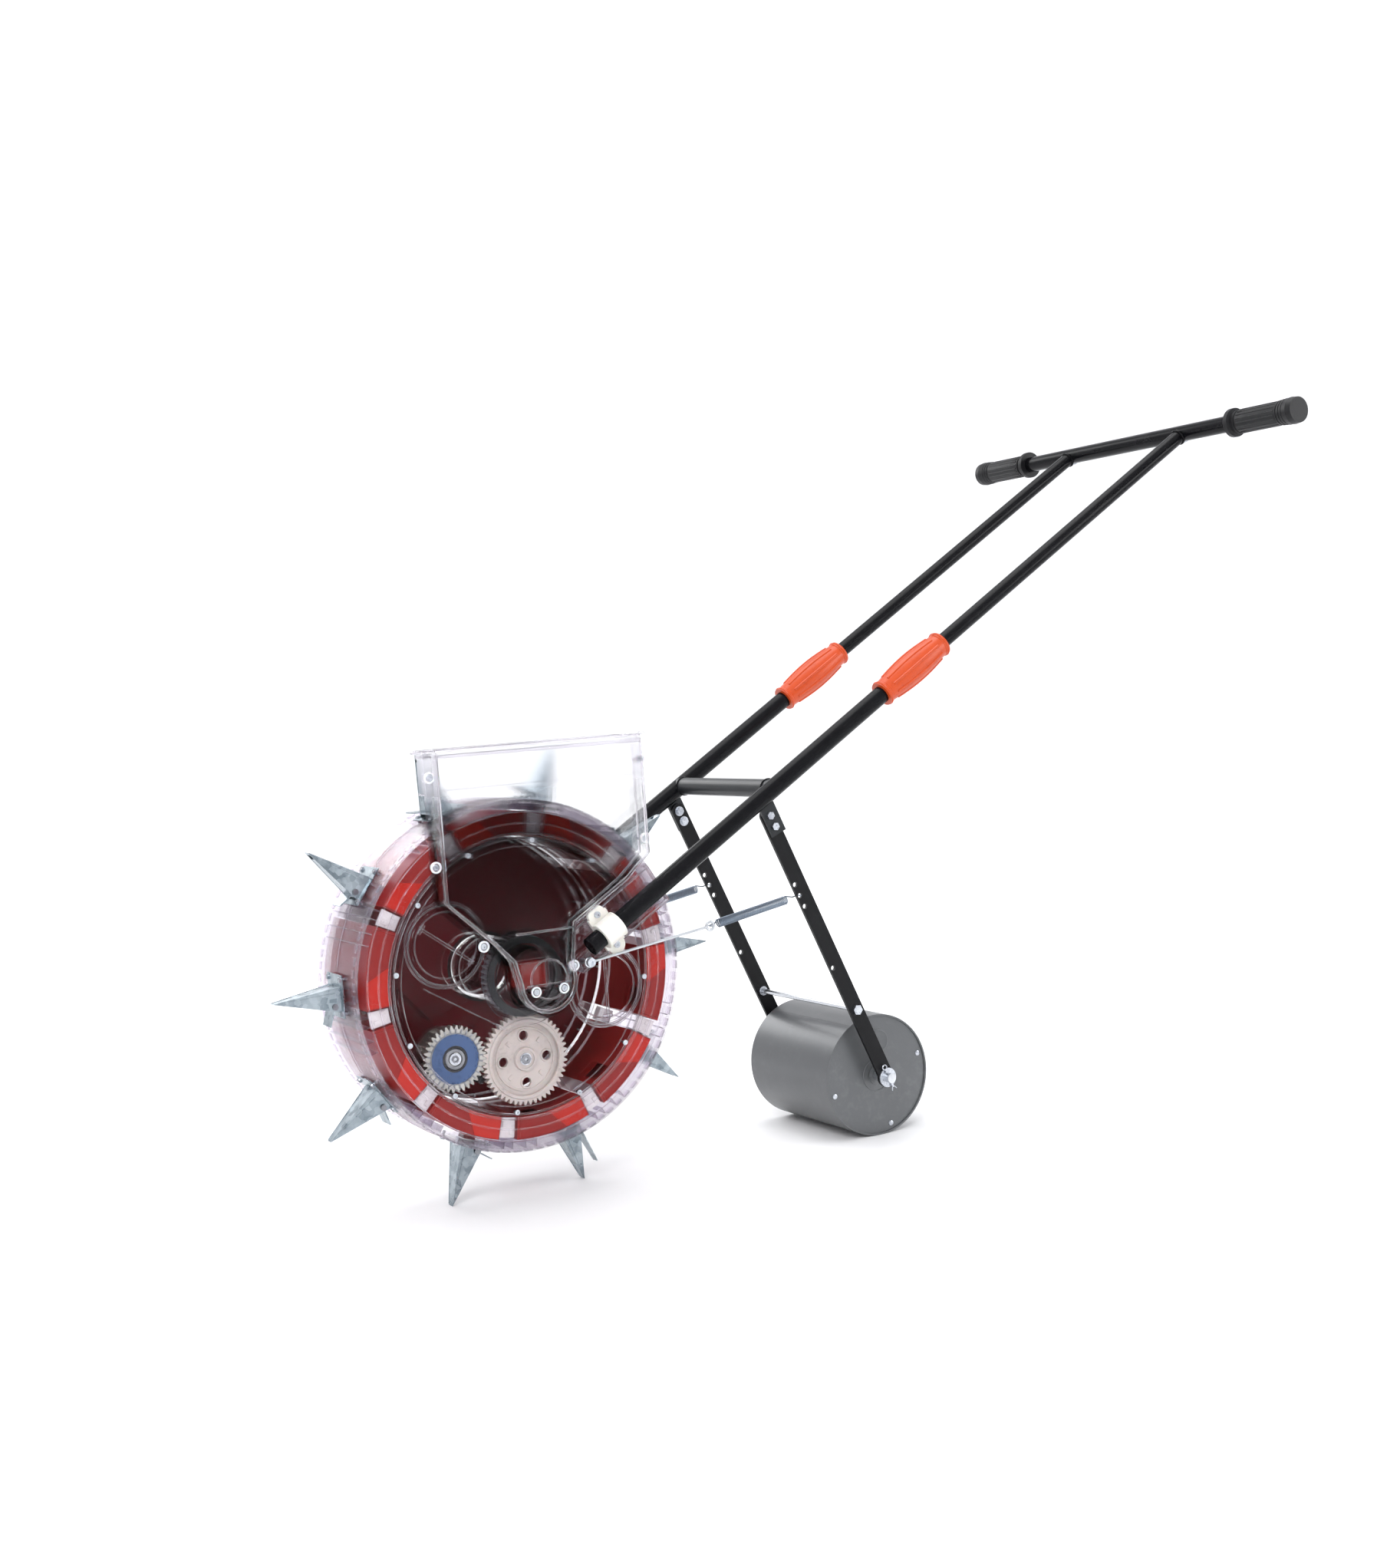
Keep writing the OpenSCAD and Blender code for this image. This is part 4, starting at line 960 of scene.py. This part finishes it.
# ---------- hopper and metering ----------
@dataclass
class Hopper:
    """Clear hopper on the near side, with its lid."""

    left: float = -113.0
    right: float = 135.0
    top: float = 262.0
    front: float = -130.5
    seam: float = -112.5
    back: float = -72.0
    screws: tuple[Point2, ...] = ((-117.5, 236), (-117.5, 139), (-69, 47), (38, 12), (139.5, 236),
                                  (139.5, 145))
    tongue: tuple[Point2, ...] = ((-17, -9), (17, -9))

    def outline(self) -> list[Point2]:
        """Corners of the front face, going round from the top left."""
        arc = [polar(33, 25 - 205 * k / 14) for k in range(15)]
        return [(self.left, self.top - 4), (self.right, self.top - 4), (self.right, 130),
                (self.right - 30, 103),
                (36, 62), *arc, (-40, 28), (-63, 52), (self.left, 99)]

    def beads(self) -> None:
        """Rounded front edge, and the bead along the joint flange."""
        sketch = Sketch()
        corners = self.outline()
        sketch.wire([(x, self.front + 1.2, z) for x, z in corners], 2.3, 8, True)
        inner = [(x + (3.5 if x < 0 else -3.5) * (abs(x) > 60), z) for x, z in corners]
        sketch.wire([(x, self.seam - 3.2, z) for x, z in inner], 1.5, 8, True)
        for z in (self.top - 45, self.top - 4):
            sketch.wire([(self.left, self.back + 1, z), (self.left, self.seam, z)], 1.2)
        # The beads' near-white colour is painted highlight along the hopper's edges.
        sketch.build("hopper_beads", "frame", HIGHLIGHT_BEAD, "hopper_clear")

    def bosses(self) -> None:
        """Moulded collars around the hopper's screws."""
        sketch = Sketch()
        y = self.seam - 3
        for at in self.screws:
            sketch.lathe([(4.3, y - 2.0), (5.4, y - 2.6), (6.4, y - 1.6), (6.4, y), (4.3, y)], at)
        for at in self.tongue:
            sketch.lathe([(4.3, self.front - 1.0), (5.6, self.front - 1.6), (6.2, self.front),
                          (4.3, self.front)], at)
        sketch.build("hopper_bosses", "frame", BOSS, "hopper_clear")

    def tongue_ring(self) -> None:
        """Raised ring and bar on the tongue in front of the hub."""
        sketch = Sketch()
        sketch.ring(22.0, 1.3, (0, 3), self.front, 64)
        sketch.wire([(-27, self.front, -2), (27, self.front, -2)], 1.1)
        sketch.wire([(-36, self.front, 57), (34, self.front, 57)], 1.3)
        # The ring's near-white colour is painted highlight.
        sketch.build("tongue_ring", "frame", HIGHLIGHT_BEAD, "hopper_clear")

    def lid_bead(self) -> None:
        """Rolled edge of the lid and its finger tab."""
        sketch = Sketch()
        z = self.top + 2.2
        x0, x1, y0, y1 = self.left - 2, self.right - 2.5, self.front - 2, self.back + 2
        sketch.wire([(x0, y0, z), (x1, y0, z), (x1, y1, z), (x0, y1, z)], 1.2, 8, True)
        sketch.wire([(x0 + 18, y0 + 12, z + 0.6), (x1 - 18, y0 + 12, z + 0.6), (x1 - 18, y1 - 12, z + 0.6),
                     (x0 + 18, y1 - 12, z + 0.6)], 0.8, 8, True)
        sketch.box((x0 - 9, -104, z - 2.6), (x0 + 2, -82, z + 0.2))
        # The bead's near-white colour is painted highlight.
        sketch.build("lid_bead", "lid", HIGHLIGHT_BEAD, "lid_clear")

    def dress(self) -> None:
        """Builds all the hopper's pieces."""
        self.beads()
        self.bosses()
        self.tongue_ring()
        self.lid_bead()


@dataclass
class Metering:
    """Hub window, gears, seed roller and brush."""

    idler: Point2 = (-2.51, -95.97)
    roller: Point2 = (-88.44, -82.36)
    face: float = -56.0
    brush_angle: float = -42.0
    chute: tuple[Point2, Point2] = ((-14.0, -10.0), (14.0, 17.0))
    chute_depths: tuple[float, float, float] = (-90.0, -82.0, -58.5)
    plug_radius: float = 34.6
    plug_depth: float = 66.0

    def hub_window(self) -> None:
        """Square feed chute that leads from the hopper to the hub's window, with its gate and rim."""
        low, high = self.chute
        front, gate, end = self.chute_depths
        chute = Sketch()
        chute.box((low[0], gate, low[1]), (high[0], gate + 1.4, high[1]))
        for x in (low[0], high[0]):
            chute.box((x - 0.7, front, low[1]), (x + 0.7, end, high[1]))
        for z in (low[1], high[1]):
            chute.box((low[0], front, z - 0.7), (high[0], end, z + 0.7))
        chute.build("hub_chute", "frame", PANE, "clear_hub")
        rim = Sketch()
        for grow, wire in ((1.0, 1.3), (5.0, 0.8)):
            x0, z0, x1, z1 = low[0] - grow, low[1] - grow, high[0] + grow, high[1] + grow
            rim.wire([(x0, front, z0), (x1, front, z0), (x1, front, z1), (x0, front, z1)], wire, 8, True)
        # The rim's near-white colour is painted highlight.
        rim.build("hub_window_rim", "frame", HIGHLIGHT_BEAD, "clear_hub")

    def hub_plug(self) -> None:
        """Dished disc that closes the far end of the hub tube, in the far cover's dark red, which carries
        painted shade.
        """
        sketch = Sketch()
        y = self.plug_depth
        sketch.lathe([(0, y), (26, y), (29, y - 3), (self.plug_radius, y - 3), (self.plug_radius, y + 1.5),
                      (27, y + 2.5), (0, y + 2.5)], (0, 0), 64)
        sketch.ring(20.0, 0.8, (0, 0), y, 64)
        sketch.build("hub_plug", "frame", FINISHES["cover_red"], "clear_hub")

    def idler_details(self) -> None:
        """Raised rim, pads and hub collar of the white gear, and the nut on its pin."""
        sketch = Sketch()
        f = self.face
        sketch.lathe([(41.5, f), (42.2, f - 1.4), (45.4, f - 1.4), (46.2, f)], self.idler, 96)
        sketch.lathe([(34.6, f + 2.6), (35, f + 1.2), (36.4, f + 1.2), (37, f + 2.6)], self.idler, 96)
        sketch.lathe([(10.5, f + 0.2), (10.5, f - 1.2), (13, f - 1.2), (14, f + 2.6)], self.idler)
        here = Matrix.Translation((self.idler[0], 0, self.idler[1]))
        for k in range(4):
            sketch.box((24, f + 1.4, -2), (30, f + 2.8, 2), here @ turn_y(45 + 90 * k))
            at = polar(27, 90 * k)
            sketch.lathe([(5.6, f + 2.7), (5.6, f + 1.3), (7.2, f + 1.3), (7.8, f + 2.7)],
                         (self.idler[0] + at[0], self.idler[1] + at[1]), 32)
        slot_piece(sketch, "idler_details", "idler", "gear_white")
        nut = Sketch()
        for at, size in ((self.idler, 1.0), (self.roller, 0.75)):
            nut.lathe([(2.2, -58.4), (3.4 * size, -58.8), (6 * size, -58.4), (6 * size, -57.3),
                       (2.2, -57.3)], at, 6)
        nut.build("pin_nuts", "frame", FINISHES["pin_steel"], "zinc_screws")

    def roller_details(self) -> None:
        """Ticks around the seed roller, notches on its blue ring, its bearing, and a dark ring of painted
        shade for the bore around it.
        """
        sketch = Sketch()
        f = self.face
        here = Matrix.Translation((self.roller[0], 0, self.roller[1]))
        for k in range(30):
            sketch.box((29, f - 0.9, -0.9), (34, f + 0.1, 0.9), here @ turn_y(12 * k))
        sketch.lathe([(28.4, f), (28.4, f - 1.1), (29.4, f - 1.1), (29.4, f)], self.roller, 64)
        sketch.lathe([(8.2, f - 0.2), (8.2, f - 1.2), (9.2, f - 1.5), (11.4, f - 1.5), (12.4, f - 0.2)],
                     self.roller)
        sketch.build("roller_ticks", "metering_roller", FINISHES["pin_steel"], "roller_silver")
        notches = Sketch()
        for k in range(24):
            notches.box((26, f - 1.2, -1.3), (28.2, f - 0.4, 1.3), here @ turn_y(15 * k + 5))
        slot_piece(notches, "ring_notches", "metering_roller", "ring_blue")
        bore = Sketch()
        bore.lathe([(12.6, f - 0.1), (12.6, f - 0.6), (14.8, f - 0.6), (14.8, f - 0.1)], self.roller)
        bore.build("roller_bore_shade", "metering_roller", BORE_SHADE, "roller_silver")

    def bristles(self) -> None:
        """Bundles of bristles in a holder, in place of the brush block."""
        draw = random.Random(7)
        here = Matrix.Translation((self.roller[0], 0, self.roller[1])) @ turn_y(self.brush_angle)
        sketch = Sketch(AXLE_FRAME @ here)
        sketch.box((43.5, -45, -4), (50.5, -21.5, 4))
        for row in range(9):
            for step in range(22):
                y, z = -44.2 + step * 1.03, -3.3 + row * 0.82
                lean = Vector((0, draw.uniform(-0.5, 0.5), draw.uniform(-0.5, 0.5)))
                sketch.wire([(44, y, z), Vector((33.8, y, z)) + lean], 0.22, 4)
        brush = slot_piece(sketch, "bristles", "frame", "brush_black")
        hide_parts("brush")

    def dress(self) -> None:
        """Builds all the metering pieces."""
        self.hub_window()
        self.hub_plug()
        self.idler_details()
        self.roller_details()
        self.bristles()


# ---------- handle ----------
@dataclass
class Handle:
    """Telescoping handle with its sleeves, grips and welds."""

    reach: float = 1115.0
    sleeve: Point2 = (497.0, 608.0)
    neck: float = 15.0
    bulge: float = 4.0
    grip: Point2 = (204.0, 316.0)
    grip_radius: float = 15.5
    cross: float = 301.6

    def around(self, x: float, y: float, radius: float, wire: float, sketch: Sketch) -> None:
        """Adds a bead that circles a tube along the handle."""
        loop = [(x, y + radius * math.cos(t), radius * math.sin(t))
                for t in (math.pi * k / 20 for k in range(40))]
        sketch.wire(loop, wire, 8, True)

    def sleeve_ribs(self, side: int, body: str) -> None:
        """Lengthwise ribs and end collars of one twist sleeve.

        Args:
            side: -1 for the near side, 1 for the far side.
            body: The sleeve's body.
        """
        sketch = Sketch(HANDLE_FRAME)
        x0, x1 = self.sleeve
        for k in range(9):
            t = math.radians(40 * k)
            path = []
            for i in range(1, 12):
                r = self.neck + self.bulge * math.sin(math.radians(15 * i)) - 0.35
                path.append((x0 + 6 + (x1 - x0 - 12) * i / 12, side * TUBE_Y + r * math.cos(t),
                             r * math.sin(t)))
            sketch.wire(path, 1.7, 8)
        for x in (x0 + 2.4, x1 - 2.4):
            self.around(x, side * TUBE_Y, self.neck + 0.7, 1.3, sketch)
        slot_piece(sketch, body + "_ribs", body, "sleeve_orange")

    def grip_ridges(self) -> None:
        """Ridges along the rubber grips, and rings at both ends."""
        sketch = Sketch(HANDLE_FRAME)
        y0, y1 = self.grip
        for side in (-1, 1):
            for k in range(18):
                x, z = polar(self.grip_radius - 0.2, 20 * k)
                sketch.wire([(self.reach + x, side * (y0 + 18), z), (self.reach + x, side * (y1 - 30), z)],
                            0.8, 6)
            for y, r in ((y0 + 14, 15.0), (y1 - 26, 15.5), (y1 - 21, 15.9), (y1 - 16, 16.3)):
                sketch.ring(r, 0.8, (self.reach, 0), side * y, 48)
            sketch.ring(18.0, 0.9, (self.reach, 0), side * (y0 + 3), 48)
        slot_piece(sketch, "grip_ridges", "upper_handle", "grip_black")

    def welds(self) -> None:
        """Weld beads at the handlebar and at the cross tube."""
        upper = Sketch(HANDLE_FRAME)
        lower = Sketch(HANDLE_FRAME)
        for side in (-1, 1):
            self.around(self.reach - 10.6, side * TUBE_Y, 9.9, 1.5, upper)
            lower.ring(11.0, 1.4, (self.cross, 0), side * (TUBE_Y - 10.2), 48)
            self.around(553, side * TUBE_Y, 11.0, 0.4, lower)
            lower.lathe([(0, 0), (8.4, 0), (9.2, 1), (9.2, 3), (0, 3)], (0, 0), 32,
                        Matrix.Translation((0.4, side * TUBE_Y, 0)) @ Matrix.Rotation(-math.pi / 2, 4, "Z"))
        slot_piece(upper, "bar_welds", "upper_handle", "tube_black")
        slot_piece(lower, "cross_welds", "frame", "tube_black")

    def bar_bolts(self) -> None:
        """Domed bolt heads at the handlebar's joints."""
        sketch = Sketch(HANDLE_FRAME @ Matrix.Translation((self.reach, 0, 0)) @ turn_y(90))
        for side in (-1, 1):
            here = Matrix.Translation((0, side * TUBE_Y, 0)) @ Matrix.Rotation(math.pi / 2, 4, "Z")
            sketch.lathe([(0, 10), (4, 10), (4, 11.4), (2.6, 12.8), (0, 13.2)], (0, 0), 24, here)
        slot_piece(sketch, "bar_bolts", "upper_handle", "zinc_screws")

    def clamp_ribs(self) -> None:
        """Rounded edges of the white saddles."""
        sketch = Sketch(HANDLE_FRAME)
        for side in (-1, 1):
            for x in (19.2, 42.8):
                arc = [(x, side * (TUBE_Y + 15.4 * math.cos(t)), 15.4 * math.sin(t))
                       for t in (math.radians(a) for a in range(-90, 91, 10))]
                sketch.wire(arc, 1.0)
        slot_piece(sketch, "clamp_ribs", "frame", "clamp_white")

    def bracket_beads(self) -> None:
        """Rounded edges of the clear side brackets."""
        sketch = Sketch(HANDLE_FRAME)
        half = 25.0
        for side in (-1, 1):
            for y in (99.0, 72.8):
                loop = [(-16.6, side * y, 1.4 - half), (116.6, side * y, 1.4 - half),
                        (116.6, side * y, half - 1.4),
                        (-16.6, side * y, half - 1.4)]
                sketch.wire(loop, 1.5, 8, True)
        # The beads' near-white colour is painted highlight along the bracket's edges.
        sketch.build("bracket_beads", "frame", HIGHLIGHT_BEAD, "bracket_clear")

    def dress(self) -> None:
        """Builds all the handle's pieces."""
        self.sleeve_ribs(-1, "near_sleeve")
        self.sleeve_ribs(1, "far_sleeve")
        self.grip_ridges()
        self.welds()
        self.bar_bolts()
        self.clamp_ribs()
        self.bracket_beads()


# ---------- press roller ----------
@dataclass
class PressRoller:
    """Press roller, its arms, springs and small hardware."""

    radius: float = 75.7
    half: float = 88.7
    centre: Point2 = (458.78, -185.36)
    arm_face: float = 109.6
    arm_length: float = 370.6
    rod_end: Point2 = (222.0, 33.0)
    hook: Point2 = (348.62, 54.18)
    coil_radius: float = 4.7
    wire_radius: float = 0.8
    rivet_angles: tuple[float, ...] = (15.0, 105.0, 195.0, 285.0)

    def barrel_details(self) -> None:
        """Rolled lips, the lengthwise seam, rivets and the filler plug."""
        sketch = Sketch()
        cx, cz = self.centre
        for side in (-1, 1):
            sketch.ring(self.radius - 1.0, 0.95, self.centre, side * (self.half - 1.0), 128)
            sketch.ring(20.0, 0.8, self.centre, side * (self.half - 1.9), 64)
        x, z = polar(self.radius - 0.35, 118)
        sketch.wire([(cx + x, 3 - self.half, cz + z), (cx + x, self.half - 3, cz + z)], 0.6)
        slot_piece(sketch, "barrel_lips", "press_roller", "roller_grey")
        rivets = Sketch()
        plug = Sketch()
        for side in (-1, 1):
            face = side * (self.half - 2)
            dome = [(0, face), (3.4, face), (3.2, face + side * 0.9), (1.8, face + side * 1.6),
                    (0, face + side * 1.8)]
            for angle in self.rivet_angles:
                px, pz = polar(66.5, angle)
                rivets.lathe(dome, (cx + px, cz + pz), 24)
            px, pz = polar(42.0, 82)
            step = [(0, face), (15, face), (15, face + side * 0.5), (13, face + side * 0.9),
                    (12, face + side * 0.3),
                    (0, face + side * 0.3)]
            plug.lathe(step, (cx + px, cz + pz), 48)
        slot_piece(rivets, "end_rivets", "press_roller", "zinc_screws")
        slot_piece(plug, "filler_plugs", "press_roller", "roller_grey")

    def cotters(self) -> None:
        """Split pins through the axle's ends, with eyes and spread legs."""
        sketch = Sketch(ARM_FRAME)
        for side in (-1, 1):
            y = side * (self.arm_face + 4.2)
            x = self.arm_length
            eye = [(x - 15 + 3 * math.cos(t), y, 3 * math.sin(t))
                   for t in (math.pi * k / 8 for k in range(16))]
            sketch.wire(eye, 0.8, 8, True)
            for lean in (-3.5, 3.5):
                sketch.wire([(x + 6, y, 0.6 * lean / 3.5), (x + 12, y, 0.8 * lean / 3.5),
                             (x + 17, y, lean)], 0.7)
        slot_piece(sketch, "split_pins", "press_arms", "zinc_screws")

    def washers(self) -> None:
        """Washers under the arm bolts' nuts and at the tie rod."""
        sketch = Sketch(ARM_FRAME)
        for side in (-1, 1):
            for x in (0, 14.6, 272):
                inner = side * (self.arm_face - 4.0)
                sketch.lathe([(3.2, inner), (6.2, inner), (6.2, inner - side * 0.9),
                              (3.2, inner - side * 0.9)],
                             (x, 0), 32)
        slot_piece(sketch, "arm_washers", "press_arms", "zinc_screws")

    def springs(self) -> None:
        """Wound springs between the pull rods and the arms, with their end hooks."""
        sketch = Sketch()
        start = Vector((self.rod_end[0] + 7, 0, self.rod_end[1] + 1.2))
        goal = Vector((self.hook[0], 0, self.hook[1]))
        along = (goal - start).normalized()
        across = along.cross(Vector((0, 1, 0)))
        for side in (-1, 1):
            level = Vector((0, side * 107.6, 0))
            turns, per_turn, length = 46, 10, 97.0
            coil = []
            for k in range(turns * per_turn + 1):
                t = 2 * math.pi * k / per_turn
                turn = across * math.cos(t) + Vector((0, 1, 0)) * math.sin(t)
                step_along = along * (4 + length * k / (turns * per_turn))
                coil.append(start + level + step_along + turn * self.coil_radius)
            eye = Vector((self.rod_end[0], 0, self.rod_end[1])) + level
            near = [eye + Vector((0, -3, 0)), eye + Vector((0, 3.2, 0)),
                    eye + along * 8 + Vector((0, 3.2, 0))]
            far = [goal + level + along * -8 + Vector((0, 3.6, 0)), goal + level + Vector((0, 3.6, 0)),
                   goal + level + Vector((0, -3.4, 0))]
            sketch.wire(near + coil + far, self.wire_radius, 6)
        coils = sketch.make("press_coils", FINISHES["spring_steel"])
        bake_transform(coils)
        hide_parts("press_springs")

    def dress(self) -> None:
        """Builds all the press roller's pieces."""
        self.barrel_details()
        self.cotters()
        self.washers()
        self.springs()


# ---------- studio ----------
@dataclass
class Studio:
    """Camera, lamps and a pale floor that rises into a backdrop."""

    camera_at: Vector = field(default_factory=lambda: Vector((-1.254, -2.0088, 0.5789)))
    yaw: float = 29.63
    pitch: float = 3.05
    roll: float = -3.99
    lens: float = 43.24
    floor_colour: Colour = (0.93, 0.93, 0.935)

    def camera(self) -> None:
        """Makes the camera at the reference viewing angle."""
        yaw, pitch, roll = (math.radians(a) for a in (self.yaw, self.pitch, self.roll))
        ahead = Vector((math.sin(yaw) * math.cos(pitch), math.cos(yaw) * math.cos(pitch), -math.sin(pitch)))
        right = Vector((math.cos(yaw), -math.sin(yaw), 0))
        up = right.cross(ahead)
        side = right * math.cos(roll) + up * math.sin(roll)
        top = up * math.cos(roll) - right * math.sin(roll)
        data = bpy.data.cameras.new("view_camera")
        data.lens = self.lens
        data.clip_start = 0.05
        camera = bpy.data.objects.new("view_camera", data)
        camera.matrix_world = Matrix.Translation(self.camera_at) @ Matrix((side, top,
                                                                           -ahead)).transposed().to_4x4()
        bpy.context.scene.collection.objects.link(camera)
        bpy.context.scene.camera = camera

    def lamp(self, name: str, at: Sequence[float], aim: Sequence[float], size: float, power: float) -> None:
        """Adds a soft square lamp.

        Args:
            name: Its name.
            at: Where it hangs.
            aim: The point it faces.
            size: Its edge length in metres.
            power: Its power in watts.
        """
        data = bpy.data.lights.new(name, "AREA")
        data.shape = "SQUARE"
        data.size = size
        data.energy = power
        lamp = bpy.data.objects.new(name, data)
        lamp.location = at
        lamp.rotation_euler = (Vector(aim) - Vector(at)).to_track_quat("-Z", "Y").to_euler()
        bpy.context.scene.collection.objects.link(lamp)

    def lights(self) -> None:
        """Key, fill, top and back lamps with a pale sky."""
        aim = (0, 0, 0.35)
        self.lamp("key", (-2.2, -2.6, 2.6), aim, 1.3, 62)
        self.lamp("fill", (2.8, -2.4, 1.4), aim, 1.5, 24)
        self.lamp("top", (0.2, 0.3, 3.2), aim, 2.2, 40)
        self.lamp("back", (-0.6, 3.0, 2.2), aim, 1.6, 30)
        self.lamp("backdrop", (1.2, 1.6, 2.6), (3.4, 6.5, 1.2), 2.4, 55)
        world = bpy.data.worlds.new("pale_sky")
        world.use_nodes = True
        sky = world.node_tree.nodes["Background"]
        sky.inputs[0].default_value = (0.96, 0.97, 1.0, 1)
        sky.inputs[1].default_value = 0.92
        bpy.context.scene.world = world
        bpy.context.scene.view_settings.view_transform = "Standard"

    def floor(self) -> None:
        """Pale floor that curves up behind the object on every side."""
        mesh = bmesh.new()
        profile = [(0.0, 0.0), (4.2, 0.0), (4.3, 0.0)]
        profile += [(4.3 + 2.4 * math.sin(t), 2.4 - 2.4 * math.cos(t))
                    for t in (math.pi * k / 24 for k in range(1, 13))]
        profile.append((6.7, 7.0))
        count = 96
        rows = []
        for radius, height in profile[1:]:
            rows.append([mesh.verts.new((radius * math.cos(2 * math.pi * k / count),
                                         radius * math.sin(2 * math.pi * k / count), height))
                                         for k in range(count)])
        middle = mesh.faces.new(rows[0])
        for a, b in zip(rows, rows[1:]):
            for k in range(count):
                mesh.faces.new((a[k], a[(k + 1) % count], b[(k + 1) % count], b[k]))
        for face in mesh.faces:
            face.smooth = face is not middle
        data = bpy.data.meshes.new("studio_floor")
        mesh.to_mesh(data)
        mesh.free()
        floor = bpy.data.objects.new("studio_floor", data)
        bpy.context.scene.collection.objects.link(floor)
        r, g, b = self.floor_colour
        finish = Finish("floor_pale", self.floor_colour, (r * 0.97, g * 0.97, b * 0.97), 0.6, 0.7, depth=0.0)
        data.materials.append(PAINT.get(finish))

    def build(self) -> None:
        """Builds the studio, camera first."""
        self.camera()
        self.lights()
        self.floor()


def main() -> None:
    """Builds the studio and every sub-assembly in order."""
    logging.basicConfig(level=logging.INFO, format="%(name)s %(message)s")
    Studio().build()
    PAINT.dress_frame()
    drum = Drum()
    drum.dress()
    for name, (radius, angle), rib in zip(("front_cap", "rear_cap"), drum.ports, (-37.0, 90.0)):
        PortCap(name, polar(radius, angle), rib).dress()
    Hopper().dress()
    Metering().dress()
    Handle().dress()
    PressRoller().dress()


if __name__ == "__main__":
    main()
